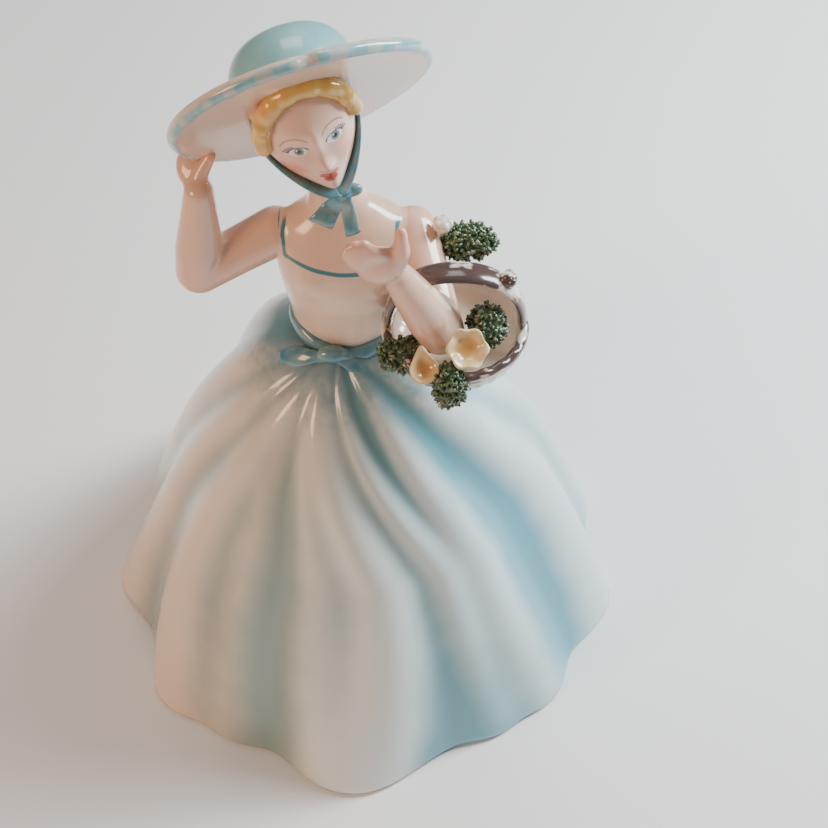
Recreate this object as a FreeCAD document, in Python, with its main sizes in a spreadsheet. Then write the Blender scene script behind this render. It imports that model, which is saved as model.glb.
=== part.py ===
import FreeCAD, Part
import Sketcher
import math
import os

# A slip-cast porcelain figurine: a woman in a wide folded skirt, who holds her hat by
# its brim and carries a basket of flowers on her other arm.
# The origin is the middle of the foot, on the table. +Z is up and she faces -Y.
# "right" and "left" in the names are her own right (-X) and left (+X).

Vector = FreeCAD.Vector
Rotation = FreeCAD.Rotation
Placement = FreeCAD.Placement

doc = FreeCAD.newDocument("Figurine")
sheet = doc.addObject("Spreadsheet::Sheet", "Sizes")

# Driving dimensions, in millimetres and degrees.
SIZES = {
    # skirt and foot
    "skirt_rise": 92.0,
    "hem_radius": 59.5,
    "waist_half_width": 11.2,
    "waist_half_depth": 9.2,
    "skirt_wall": 3.0,
    "fold_depth": 6.5,
    "floor_thick": 3.0,
    "floor_recess": 1.0,
    "vent_radius": 1.8,
    # torso
    "torso_rise": 33.0,
    "bust_half_width": 13.4,
    "bust_half_depth": 10.2,
    "shoulder_half_width": 13.6,
    "shoulder_half_depth": 7.0,
    "torso_wall": 3.0,
    "neck_radius": 4.6,
    "neck_length": 22.0,
    # head, hair and hat
    "head_half_width": 9.2,
    "head_half_depth": 10.0,
    "head_half_height": 13.0,
    "head_lift": 24.8,
    "head_turn": 16.5,
    "head_nod": 8.7,
    "head_tilt": 15.6,
    "hair_thick": 1.7,
    "hair_drop": 6.0,
    "chin_radius": 4.6,
    "chin_drop": 8.6,
    "chin_out": 3.6,
    "face_half_width": 7.7,
    "face_half_height": 10.2,
    "hat_lean": 48.5,
    "hat_cant": 7.3,
    "brim_radius": 25.0,
    "brim_thick": 2.4,
    "brim_round": 1.0,
    "crown_radius": 11.8,
    "crown_height": 12.0,
    "crown_round": 8.0,
    "ribbon_thick": 0.9,
    "ribbon_width": 3.2,
    "bow_knot_radius": 1.8,
    "bow_tail_length": 10.5,
    "bow_tail_width": 2.3,
    # arms
    "upper_arm_length": 17.0,
    "forearm_length": 20.5,
    "shoulder_radius": 5.4,
    "elbow_radius": 5.0,
    "wrist_radius": 3.1,
    "hand_length": 11.0,
    "hand_width": 7.0,
    "hand_thick": 4.4,
    "thumb_radius": 1.6,
    "thumb_length": 9.5,
    # sash
    "sash_height": 4.4,
    "sash_thick": 0.9,
    "sash_knot_radius": 3.0,
    "sash_tail_length": 15.0,
    "sash_tail_width": 2.6,
    # basket and its flowers
    "basket_radius": 14.0,
    "basket_depth": 10.0,
    "basket_bulge": 13.0,
    "basket_recess": 2.5,
    "basket_wall": 1.8,
    "rim_radius": 1.1,
    "handle_rise": 16.0,
    "handle_width": 5.0,
    "handle_thick": 2.0,
    "knob_radius": 1.9,
    "moss_size": 4.0,
    "rosette_radius": 3.8,
    "rosette_depth": 2.6,
    "bell_radius": 3.0,
    "bell_depth": 3.4,
    "petal_wall": 0.8,
    "bud_radius": 1.7,
}

for row, (alias, value) in enumerate(SIZES.items(), start=1):
    sheet.set("A%d" % row, alias)
    sheet.set("B%d" % row, str(value))
    sheet.setAlias("B%d" % row, alias)
doc.recompute()


def size(alias):
    """The value that the sheet holds under an alias."""
    return float(getattr(sheet, alias))


def bind(piece, **expressions):
    """Binds properties of a document object to cells of the sheet."""
    for prop, expression in expressions.items():
        piece.setExpression(prop, expression)
    return piece


# ---------------------------------------------------------------- helpers

def primitive(kind, name, place=None, **expressions):
    """One Part primitive with its sizes bound to the sheet."""
    piece = bind(doc.addObject(kind, name), **expressions)
    piece.Placement = place or Placement()
    return piece


def ellipsoid(name, place, width, depth, height):
    """An ellipsoid whose three half sizes are expressions."""
    return primitive("Part::Ellipsoid", name, place, Radius1=height, Radius2=width, Radius3=depth,
                     Angle1="-90", Angle2="90", Angle3="360")


def fused(name, *pieces):
    """Joins pieces into one solid."""
    fuse = doc.addObject("Part::MultiFuse", name)
    fuse.Shapes = list(pieces)
    return fuse


def trimmed(name, base, *tools):
    """Cuts each tool in turn out of a piece, so that the two meet face to face."""
    for count, tool in enumerate(tools, start=1):
        last = count == len(tools)
        cut = doc.addObject("Part::Cut", name if last else "%s_trim_%d" % (name, count))
        cut.Base = base
        cut.Tool = tool
        base = cut
    return base


def common(name, base, tool):
    """Keeps what two pieces share."""
    shared = doc.addObject("Part::Common", name)
    shared.Base = base
    shared.Tool = tool
    return shared


def shaped(name, shape):
    """A free-form piece that no feature of the document makes."""
    piece = doc.addObject("Part::Feature", name)
    piece.Shape = shape
    return piece


def oval_slab(name, place, half_height, half_width, thick):
    """An upright oval slab, in the XZ plane of its placement, as thick as it says along -Y."""
    upright = Rotation(Vector(1, 0, 0), 90) * Rotation(Vector(0, 0, 1), 90)
    outline = primitive("Part::Ellipse", name + "_outline", place * Placement(Vector(), upright),
                        MajorRadius=half_height, MinorRadius=half_width)
    slab = bind(doc.addObject("Part::Extrusion", name), LengthFwd=thick)
    slab.Base = outline
    slab.DirMode = "Normal"
    slab.Solid = True
    return slab


def aim(start, end):
    """A placement at start whose Z axis points to end."""
    return Placement(start, Rotation(Vector(0, 0, 1), end - start))


def limb(name, start, end, start_radius, end_radius, length):
    """A tapered stretch of arm between two joints."""
    return primitive("Part::Cone", name, aim(start, end),
                     Radius1=start_radius, Radius2=end_radius, Height=length)


def ball(name, centre, radius):
    """A rounded joint."""
    return primitive("Part::Sphere", name, Placement(centre, Rotation()), Radius=radius)


def padded_disc(name, place, radius, height, rounding, rounded_edges):
    """A round body, padded from a circle, with rounded edges."""
    body = doc.addObject("PartDesign::Body", name)
    sketch = body.newObject("Sketcher::SketchObject", name + "_outline")
    base_plane = [plane for plane in body.Origin.OriginFeatures if plane.Role == "XY_Plane"][0]
    sketch.AttachmentSupport = [(base_plane, "")]
    sketch.MapMode = "FlatFace"
    sketch.addGeometry(Part.Circle(Vector(), Vector(0, 0, 1), size(radius)), False)
    sketch.addConstraint(Sketcher.Constraint("Coincident", 0, 3, -1, 1))
    sketch.addConstraint(Sketcher.Constraint("Radius", 0, size(radius)))
    sketch.setExpression("Constraints[1]", "Sizes." + radius)
    pad = bind(body.newObject("PartDesign::Pad", name + "_pad"), Length="Sizes." + height)
    pad.Profile = sketch
    doc.recompute()
    rounds = body.newObject("PartDesign::Fillet", name + "_round")
    rounds.Base = (pad, rounded_edges(pad.Shape))
    bind(rounds, Radius="Sizes." + rounding)
    body.Tip = rounds
    body.Placement = place
    return body


def rim_edges(shape, heights):
    """Names of the full circles of a disc that lie at the given heights."""
    names = []
    for count, edge in enumerate(shape.Edges, start=1):
        level = edge.BoundBox
        flat = level.ZLength < 1e-6
        if flat and any(abs(level.ZMin - height) < 1e-6 for height in heights):
            names.append("Edge%d" % count)
    return names


# ---------------------------------------------------------------- landmarks

WAIST = Vector(-1.5, 1.5, size("skirt_rise"))
NECK_BASE = WAIST + Vector(0, 1.0, size("torso_rise") - 3)
HEAD = WAIST + Vector(-6.1, -2.0, size("torso_rise") + size("head_lift"))
HEAD_TURN = (Rotation(Vector(0, 0, 1), size("head_turn"))
             * Rotation(Vector(1, 0, 0), -size("head_nod"))
             * Rotation(Vector(0, 1, 0), -size("head_tilt")))
HAT_TURN = (HEAD_TURN * Rotation(Vector(0, 1, 0), size("hat_cant"))
            * Rotation(Vector(1, 0, 0), -size("hat_lean")))
HAT = HEAD + HAT_TURN.multVec(Vector(0.6, 1.2, 1.6))

SHOULDER_HEIGHT = size("torso_rise") - 8
RIGHT_SHOULDER = WAIST + Vector(-size("shoulder_half_width"), 1.0, SHOULDER_HEIGHT)
LEFT_SHOULDER = WAIST + Vector(size("shoulder_half_width"), 1.0, SHOULDER_HEIGHT)


def from_joint(joint, direction, reach):
    """The point that lies a reach away from a joint."""
    return joint + Vector(*direction).normalize() * reach


RIGHT_ELBOW = from_joint(RIGHT_SHOULDER, (-15.5, -3.5, -5.6), size("upper_arm_length"))
RIGHT_WRIST = from_joint(RIGHT_ELBOW, (2.4, -0.6, 20.3), size("forearm_length"))
RIGHT_HAND = from_joint(RIGHT_WRIST, (-1.6, 4.4, 3.6), size("hand_length") / 2)
LEFT_ELBOW = from_joint(LEFT_SHOULDER, (5.6, -18.0, -8.0), size("upper_arm_length") * 1.15)
LEFT_WRIST = from_joint(LEFT_ELBOW, (-8.8, -2.5, 18.0), size("forearm_length"))
LEFT_HAND = from_joint(LEFT_WRIST, (-4.2, -2.0, 5.4), size("hand_length") / 2)
LEFT_THUMB = LEFT_WRIST + Vector(-0.6, 0.4, 3.0)

BASKET = WAIST + Vector(21.5, -13.5, 13.5)


def head_point(side, back, up):
    """A point given in the head's own frame."""
    return HEAD + HEAD_TURN.multVec(Vector(side, back, up))


# ---------------------------------------------------------------- skirt and foot

# Each fold of the skirt: its bearings at the waist, half way down and at the hem, its half
# width in degrees, and its strength down to half way and at the hem. They are gathered at
# the front of the waist, under the sash knot, and spread out from there.
FOLDS = [
    (175, 158, 152, 14, 0.9, 1.0),
    (200, 184, 183, 12, 0.9, 1.1),
    (222, 208, 219, 12, 0.95, 1.1),
    (229, 230, 236, 11, 0.6, 0.55),
    (238, 259, 262, 11, 0.75, 0.75),
    (242, 281, 270, 14, 1.1, 1.15),
    (264, 304, 306, 9, 0.85, 0.45),
    (300, 317, 321, 11, 0.95, 0.75),
    (335, 355, 350, 14, 1.05, 1.1),
    (358, 22, 24, 13, 0.9, 1.0),
    (30, 55, 57, 13, 0.9, 1.0),
    (80, 88, 88, 14, 1.0, 1.0),
    (130, 121, 120, 14, 0.9, 1.0),
]
FLARE = 0.6
FOLD_START = 0.4
HALFWAY = 0.45
FOLD_MEAN = 0.75
GATHER = Vector(-3.0, -7.0, 0.0)


def around(first, second):
    """How far one bearing is from another, from -180 to 180."""
    return (first - second + 180) % 360 - 180


def gather_bearing(across, along, flare):
    """A point's bearing in degrees, seen from a centre that slides from the gather to the foot."""
    slide = (1 - flare) ** 0.5
    return math.degrees(math.atan2(along - GATHER.y * slide, across - GATHER.x * slide))


def fold_height(bearing, drop):
    """How high the folds stand at a bearing, from 0 in a valley to 1 on a ridge."""
    squares = 0.0
    for waist, halfway, hem, half_width, strength, hem_strength in FOLDS:
        share = (drop - HALFWAY) / (1 - HALFWAY)
        if share > 0:
            sway = around(hem, halfway) * share ** 2
            strength += (hem_strength - strength) * share
        else:
            sway = around(waist, halfway) * (1 - drop / HALFWAY) ** 1.3
        off = around(bearing, halfway + sway)
        squares += (strength * math.exp(-(off / half_width) ** 2)) ** 2
    return math.sqrt(squares)


def skirt_spread():
    """How much wider the hem is than the waist."""
    return size("hem_radius") - size("waist_half_width")


def skirt_section(drop, inset, level):
    """One level outline of the skirt: drop is 0 at the waist and 1 at the hem.

    All outlines share the same even parameters, so that the loft runs straight down them.
    """
    points = []
    steps = 90
    flare = drop ** FLARE
    centre = Vector(WAIST.x, WAIST.y, 0) * (1 - flare)
    for step in range(steps):
        angle = 2 * math.pi * step / steps
        across = size("waist_half_width") + skirt_spread() * flare
        along = size("waist_half_depth") + (skirt_spread() + 2.0) * flare
        plain = centre + Vector(across * math.cos(angle), along * math.sin(angle), 0)
        height = fold_height(gather_bearing(plain.x, plain.y, flare), drop)
        pressed = size("fold_depth") * drop ** FOLD_START * (height - FOLD_MEAN) - inset
        points.append(Vector(plain.x + pressed * math.cos(angle),
                             plain.y + pressed * math.sin(angle), level))
    curve = Part.BSplineCurve()
    curve.interpolate(Points=points, PeriodicFlag=True, Parameters=list(range(steps + 1)))
    return Part.Wire([curve.toShape()])


def skirt_form_solid():
    """The skirt's closed outer form."""
    drops = [0.0, 0.03, 0.09, 0.18, 0.3, 0.44, 0.6, 0.8, 1.0]
    sections = [skirt_section(drop, 0.0, size("skirt_rise") * (1 - drop)) for drop in drops]
    return Part.makeLoft(sections, True, False)


def skirt_cavity_solid():
    """The skirt's cavity, whose inset grows where the wall slopes, so that it is even."""
    sections = []
    for drop in [0.06, 0.12, 0.2, 0.3, 0.44, 0.6, 0.8, 1.0]:
        slope = FLARE * skirt_spread() * drop ** (FLARE - 1) / size("skirt_rise")
        inset = size("skirt_wall") * math.sqrt(1 + slope ** 2)
        sections.append(skirt_section(drop, inset, size("skirt_rise") * (1 - drop)))
    sections.append(skirt_section(1.0, inset, -size("floor_recess")))
    return Part.makeLoft(sections, True, False)


def make_skirt():
    """The hollow skirt and the flat floor that closes it, with its vent hole."""
    form = shaped("skirt_form", skirt_form_solid())
    cavity = shaped("skirt_cavity", skirt_cavity_solid())
    skirt = trimmed("skirt", form, cavity)
    slab = primitive("Part::Cylinder", "floor_slab",
                     Placement(Vector(0, 0, size("floor_recess")), Rotation()),
                     Radius="Sizes.hem_radius * 1.2", Height="Sizes.floor_thick")
    vent = primitive("Part::Cylinder", "vent_hole", None,
                     Radius="Sizes.vent_radius", Height="Sizes.floor_thick * 3")
    floor = trimmed("base_floor", common("floor_blank", slab, cavity), vent)
    return skirt, floor


# ---------------------------------------------------------------- torso and neck

def torso_loft(name, stations, inset):
    """A loft through level ellipses: height, half width, half depth and shift back."""
    rings = []
    for count, (height, half_width, half_depth, back) in enumerate(stations):
        ring = doc.addObject("Part::Ellipse", "%s_ring_%d" % (name, count))
        ring.MajorRadius = max(half_width, half_depth + 0.01) - inset
        ring.MinorRadius = half_depth - inset
        ring.Placement = Placement(WAIST + Vector(0, back, height), Rotation())
        rings.append(ring)
    loft = doc.addObject("Part::Loft", name)
    loft.Sections = rings
    loft.Solid = True
    loft.Ruled = False
    return loft


def torso_stations():
    """The bodice from the waist up to the neck."""
    rise = size("torso_rise")
    bust_width = size("bust_half_width")
    bust_depth = size("bust_half_depth")
    shoulder_width = size("shoulder_half_width")
    shoulder_depth = size("shoulder_half_depth")
    return [
        (0.0, size("waist_half_width"), size("waist_half_depth"), 0.0),
        (0.34 * rise, 0.93 * bust_width, 0.92 * bust_depth, -0.3),
        (0.57 * rise, bust_width, bust_depth, -0.9),
        (0.74 * rise, shoulder_width, 1.18 * shoulder_depth, 0.4),
        (0.86 * rise, 0.86 * shoulder_width, 0.92 * shoulder_depth, 1.0),
        (rise, size("neck_radius") + 1.2, size("neck_radius") + 0.8, 1.0),
    ]


def make_torso():
    """The hollow bodice, luted to the skirt at the waist."""
    form = torso_loft("bodice_form", torso_stations(), 0.0)
    core = torso_loft("bodice_core", torso_stations()[:4], size("torso_wall"))
    return trimmed("bodice", form, core)


def make_head():
    """The head, tilted on its neck, with the mass of the jaw and chin low at the front."""
    skull = ellipsoid("skull", Placement(HEAD, HEAD_TURN), "Sizes.head_half_width",
                      "Sizes.head_half_depth", "Sizes.head_half_height")
    chin = ball("chin", head_point(0, -size("chin_out"), -size("chin_drop")), "Sizes.chin_radius")
    inside_crown = primitive("Part::Box", "inside_crown",
                             Placement(HAT + HAT_TURN.multVec(Vector(-30, -30, size("brim_thick"))),
                                       HAT_TURN),
                             Length="60", Width="60", Height="60")
    return trimmed("head", fused("head_form", skull, chin), inside_crown)


def make_neck(head, bodice_form):
    """The neck, a short post between the shoulders and the head."""
    root = NECK_BASE - Vector(0, 0, 2)
    chin_base = head_point(0, 1.5, -0.5 * size("head_half_height"))
    post = limb("neck_post", root, chin_base, "Sizes.neck_radius", "Sizes.neck_radius * 0.9",
                "Sizes.neck_length")
    return trimmed("neck", post, head, bodice_form)


# ---------------------------------------------------------------- hair and hat

def make_hair(head, neck):
    """A cap of hair round the head, open over the face."""
    cap = ellipsoid("hair_cap", Placement(head_point(0, 0.8, 0.7), HEAD_TURN),
                    "Sizes.head_half_width + Sizes.hair_thick * 0.8",
                    "Sizes.head_half_depth + Sizes.hair_thick",
                    "Sizes.head_half_height + Sizes.hair_thick")
    face = ellipsoid("face_window", Placement(head_point(0, -9, -3.4), HEAD_TURN),
                     "Sizes.face_half_width", "Sizes.head_half_depth * 1.25",
                     "Sizes.face_half_height")
    nape = primitive("Part::Box", "nape_cut",
                     Placement(head_point(-20, -20, -24 - size("hair_drop")), HEAD_TURN),
                     Length="40", Width="40", Height="24")
    inside_crown = doc.getObject("inside_crown")
    return trimmed("hair", cap, head, face, nape, neck, inside_crown)


def make_hat(head, hair, neck, bodice_form):
    """The hat's flat brim and its domed crown."""
    thick = size("brim_thick")
    brim_blank = padded_disc("brim_blank", Placement(HAT, HAT_TURN), "brim_radius", "brim_thick",
                             "brim_round", lambda shape: rim_edges(shape, (0.0, thick)))
    seat = HAT + HAT_TURN.multVec(Vector(0, 0, thick))
    crown_top = size("crown_height")
    crown = padded_disc("hat_crown", Placement(seat, HAT_TURN), "crown_radius",
                        "crown_height", "crown_round",
                        lambda shape: rim_edges(shape, (crown_top,)))
    brim = trimmed("hat_brim", brim_blank, head, hair, neck, bodice_form)
    return brim, crown


def make_ribbon(head, knot, neck):
    """The ribbon that ties the hat: one band down each cheek to the bow."""
    width = size("ribbon_width")
    lower_edge = -size("head_half_height") - 4
    bands = []
    for side, start in (("right", -20), ("left", 0)):
        oval = oval_slab("ribbon_oval_" + side, Placement(head_point(0, width / 2, 0), HEAD_TURN),
                         "Sizes.head_half_height + Sizes.ribbon_thick",
                         "Sizes.head_half_width + Sizes.ribbon_thick", "Sizes.ribbon_width")
        below_hair = primitive("Part::Box", "ribbon_side_" + side,
                               Placement(head_point(start, -width, lower_edge), HEAD_TURN),
                               Length="20", Width="Sizes.ribbon_width * 2",
                               Height="Sizes.head_half_height + 4 - Sizes.hair_drop")
        band = common("ribbon_blank_" + side, oval, below_hair)
        bands.append(trimmed("chin_ribbon_" + side, band, head, knot, neck))
    return bands


def make_bow(knot_centre, knot, neck, bodice_form):
    """Two flat tails that hang from the knot and lie on the chest."""
    tails = []
    for side, spread in (("right", -4.6), ("left", 1.2)):
        tip = knot_centre + Vector(spread, -0.8, -size("bow_tail_length"))
        middle = (knot_centre + tip) * 0.5
        turn = Rotation(Vector(0, 0, 1), knot_centre - tip)
        blank = ellipsoid("bow_blank_" + side, Placement(middle, turn), "Sizes.bow_tail_width",
                          "Sizes.ribbon_thick", "Sizes.bow_tail_length / 2")
        tails.append(trimmed("bow_tail_" + side, blank, knot, neck, bodice_form, *tails))
    return tails


# ---------------------------------------------------------------- arms

def make_right_arm(bodice_form, brim):
    """The raised arm, whose hand holds the brim of the hat."""
    upper = limb("right_upper", RIGHT_SHOULDER, RIGHT_ELBOW, "Sizes.shoulder_radius",
                 "Sizes.elbow_radius", "Sizes.upper_arm_length")
    fore = limb("right_fore", RIGHT_ELBOW, RIGHT_WRIST, "Sizes.elbow_radius",
                "Sizes.wrist_radius", "Sizes.forearm_length")
    palm = ellipsoid("right_palm", aim(RIGHT_HAND, RIGHT_HAND + (RIGHT_HAND - RIGHT_WRIST)),
                     "Sizes.hand_width / 2", "Sizes.hand_thick / 2", "Sizes.hand_length / 2 + 1")
    arm = fused("right_arm_form", ball("right_shoulder", RIGHT_SHOULDER, "Sizes.shoulder_radius"),
                upper, ball("right_elbow", RIGHT_ELBOW, "Sizes.elbow_radius"), fore,
                ball("right_wrist", RIGHT_WRIST, "Sizes.wrist_radius"), palm)
    return trimmed("right_arm", arm, bodice_form, brim)


def make_left_arm(bodice_form):
    """The bent arm that carries the basket, its palm open and its thumb up."""
    upper = limb("left_upper", LEFT_SHOULDER, LEFT_ELBOW, "Sizes.shoulder_radius",
                 "Sizes.elbow_radius", "Sizes.upper_arm_length * 1.15")
    fore = limb("left_fore", LEFT_ELBOW, LEFT_WRIST, "Sizes.elbow_radius",
                "Sizes.wrist_radius", "Sizes.forearm_length")
    palm = ellipsoid("left_palm", aim(LEFT_HAND, LEFT_HAND + (LEFT_HAND - LEFT_WRIST)),
                     "Sizes.hand_width / 2", "Sizes.hand_thick / 2", "Sizes.hand_length / 2 + 1")
    thumb = limb("left_thumb", LEFT_THUMB, LEFT_THUMB + Vector(1.2, -0.4, 9.0),
                 "Sizes.thumb_radius * 1.2", "Sizes.thumb_radius * 0.8", "Sizes.thumb_length")
    arm = fused("left_arm_form", ball("left_shoulder", LEFT_SHOULDER, "Sizes.shoulder_radius"),
                upper, ball("left_elbow", LEFT_ELBOW, "Sizes.elbow_radius"), fore,
                ball("left_wrist", LEFT_WRIST, "Sizes.wrist_radius"), palm, thumb)
    return trimmed("left_arm", arm, bodice_form)


# ---------------------------------------------------------------- sash

def make_sash(skirt_form, bodice_form):
    """The waist sash with its knot and two tails that lie on the skirt."""
    thick = size("sash_thick")
    wrap = torso_loft("sash_wrap", torso_stations(), -thick)
    keep = primitive("Part::Cylinder", "sash_keep", Placement(WAIST, Rotation()),
                     Radius="Sizes.waist_half_width * 2", Height="Sizes.sash_height")
    sash = trimmed("waist_sash", common("sash_blank", wrap, keep), bodice_form)
    knot_centre = WAIST + Vector(-3.0, -size("waist_half_depth") - 2 * thick, 1.0)
    knot_blank = ellipsoid("sash_knot_blank", Placement(knot_centre, Rotation()),
                           "Sizes.sash_knot_radius", "Sizes.sash_knot_radius * 0.7",
                           "Sizes.sash_knot_radius * 0.8")
    knot = trimmed("sash_knot", knot_blank, wrap, skirt_form)
    tails = []
    for side, run in (("right", Vector(-14, -3, -9)), ("left", Vector(15, -6, -8))):
        tip = knot_centre + run.normalize() * size("sash_tail_length")
        lie = Placement((knot_centre + tip) * 0.5, Rotation(Vector(0, 0, 1), tip - knot_centre))
        blank = ellipsoid("sash_tail_blank_" + side, lie, "Sizes.sash_tail_width",
                          "Sizes.sash_tail_width", "Sizes.sash_tail_length / 2")
        tails.append(trimmed("sash_tail_" + side, blank, wrap, skirt_form, knot))
    return [sash, knot] + tails


# ---------------------------------------------------------------- basket and flowers

def make_basket(left_arm, bodice_form, skirt_form):
    """The bulging basket with its rolled rim, hooped handle and the handle's end knob."""
    bowl = ellipsoid("basket_bowl", Placement(BASKET, Rotation()), "Sizes.basket_radius",
                     "Sizes.basket_radius", "Sizes.basket_bulge")
    keep = primitive("Part::Cylinder", "basket_keep",
                     Placement(BASKET - Vector(0, 0, size("basket_depth")), Rotation()),
                     Radius="Sizes.basket_radius * 1.2", Height="Sizes.basket_depth")
    recess = primitive("Part::Cylinder", "basket_recess",
                       Placement(BASKET - Vector(0, 0, size("basket_recess")), Rotation()),
                       Radius="Sizes.basket_radius - Sizes.basket_wall",
                       Height="Sizes.basket_recess * 2")
    rim_blank = primitive("Part::Torus", "basket_rim_blank", Placement(BASKET, Rotation()),
                          Radius1="Sizes.basket_radius - Sizes.rim_radius * 0.6",
                          Radius2="Sizes.rim_radius")
    body = trimmed("basket_body", common("basket_blank", bowl, keep), recess, rim_blank,
                   left_arm, bodice_form, skirt_form)
    rim = trimmed("basket_rim", rim_blank, left_arm, bodice_form)
    handle = trimmed("basket_handle", handle_hoop(), rim_blank, left_arm, bodice_form)
    knob_place = BASKET + Vector(size("basket_radius") - 4.4, 0, size("handle_rise") - 3.2)
    knob_blank = ball("knob_blank", knob_place, "Sizes.knob_radius")
    knob = trimmed("handle_knob", knob_blank, handle)
    return rim_blank, [body, rim, handle, knob]


def handle_hoop():
    """Half of a flat hoop, from one side of the rim over to the other."""
    start = Placement(BASKET + Vector(0, size("handle_width") / 2, 0), Rotation())
    outer = oval_slab("hoop_outer", start, "Sizes.handle_rise", "Sizes.basket_radius",
                      "Sizes.handle_width")
    inner = oval_slab("hoop_inner", start, "Sizes.handle_rise - Sizes.handle_thick",
                      "Sizes.basket_radius - Sizes.handle_thick", "Sizes.handle_width")
    lower_half = primitive("Part::Box", "hoop_lower",
                           Placement(BASKET - Vector(30, 30, 40), Rotation()),
                           Length="60", Width="60", Height="40")
    return trimmed("handle_blank", outer, inner, lower_half)


def make_greens(rim_blank, hard_pieces):
    """The clumps of strand moss in and over the basket."""
    clumps = {
        "moss_back": (Vector(0.7, 12.4, 10.5), (1.75, 1.0, 1.0)),
        "moss_side": (Vector(6.0, -3.4, 3.6), (0.85, 0.9, 1.15)),
        "moss_front": (Vector(-10.0, -7.0, -0.6), (1.25, 0.75, 1.0)),
        "moss_tail": (Vector(-1.2, -14.2, -1.4), (0.8, 0.7, 1.4)),
    }
    made = []
    for name, (offset, scale) in clumps.items():
        across, along, high = ["Sizes.moss_size * %s" % share for share in scale]
        blank = ellipsoid(name + "_blank", Placement(BASKET + offset, Rotation()),
                          across, along, high)
        made.append(trimmed(name, blank, rim_blank, *(hard_pieces + made)))
    return made


def cup(name, centre, facing, radius, depth):
    """A thin open flower cup that looks along a direction."""
    outer = primitive("Part::Cone", name + "_outer", aim(centre, centre + facing),
                      Radius1=radius + " * 0.45", Radius2=radius, Height=depth)
    hollow = primitive("Part::Cone", name + "_hollow",
                       aim(centre + facing * size("petal_wall"), centre + facing * 9),
                       Radius1=radius + " * 0.45 - Sizes.petal_wall * 0.6",
                       Radius2=radius + " - Sizes.petal_wall", Height=depth)
    return trimmed(name + "_cup", outer, hollow)


def make_flowers(pieces):
    """Two open blooms and a bud, stuck into the moss."""
    facing = Vector(0.1, -0.6, 0.8).normalize()
    bloom = cup("rosette", BASKET + Vector(1.6, -8.8, 3.2), facing,
                "Sizes.rosette_radius", "Sizes.rosette_depth")
    bell = cup("bell", BASKET + Vector(-6.6, -10.4, -1.0), facing,
               "Sizes.bell_radius", "Sizes.bell_depth")
    bud = ball("bud_blank", BASKET + Vector(-2.5, 12.0, 15.2), "Sizes.bud_radius")
    return [trimmed("flower_rosette", bloom, *pieces), trimmed("flower_bell", bell, *pieces),
            trimmed("flower_bud", bud, *pieces)]


# ---------------------------------------------------------------- the whole figurine

def make_figurine():
    """Every separate piece, in the order in which they trim each other."""
    skirt, base_floor = make_skirt()
    skirt_form = doc.getObject("skirt_form")
    bodice = make_torso()
    bodice_form = doc.getObject("bodice_form")
    head = make_head()
    neck = make_neck(head, bodice_form)
    hair = make_hair(head, neck)
    brim, crown = make_hat(head, hair, neck, bodice_form)
    knot_centre = head_point(0.6, -6.8, -size("head_half_height") - 1.6)
    knot_ball = ball("knot_blank", knot_centre, "Sizes.bow_knot_radius")
    bow_knot = trimmed("bow_knot", knot_ball, head, neck, bodice_form)
    ribbons = make_ribbon(head, bow_knot, neck)
    tails = make_bow(knot_centre, bow_knot, neck, bodice_form)
    right_arm = make_right_arm(bodice_form, brim)
    left_arm = make_left_arm(bodice_form)
    sash = make_sash(skirt_form, bodice_form)
    rim_blank, basket = make_basket(left_arm, bodice_form, skirt_form)
    hard = [left_arm, basket[0], basket[2], doc.getObject("bodice_form")]
    greens = make_greens(rim_blank, hard)
    flowers = make_flowers(greens + [left_arm, basket[0], basket[1]])
    return ([skirt, base_floor, bodice, head, neck, hair, brim, crown, bow_knot, right_arm,
             left_arm] + ribbons + tails + sash + basket + greens + flowers)


def check_and_write(pieces):
    """Stops on any failed object, then writes one file for each piece."""
    doc.recompute()
    for piece in doc.Objects:
        if "Invalid" in piece.State or "Error" in piece.State:
            raise RuntimeError("%s failed: %s" % (piece.Name, piece.State))
    for piece in pieces:
        if piece.Shape.isNull() or not piece.Shape.isValid():
            raise RuntimeError("%s has no valid shape" % piece.Name)
        if not piece.Shape.Solids:
            raise RuntimeError("%s has no solid" % piece.Name)
    os.makedirs("parts", exist_ok=True)
    for piece in pieces:
        piece.Label = piece.Name
        piece.Shape.exportStep(os.path.join("parts", piece.Label + ".step"))
        print("%-20s %2d solid %9.1f mm3" % (piece.Label, len(piece.Shape.Solids),
                                             piece.Shape.Volume))


check_and_write(make_figurine())
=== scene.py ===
# %% [markdown]
# # A glazed porcelain lady with a sun hat and a basket
# The real figurine is slip-cast. Liquid clay is poured into plaster moulds, and the thin
# shells are taken out soft and joined with more clay. It is painted, glazed and fired.
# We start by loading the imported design. It fixes where every piece stands and how big it is.

# %% Load the design
import math
import random

import bmesh
import bpy
from mathutils import Matrix, Vector


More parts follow.
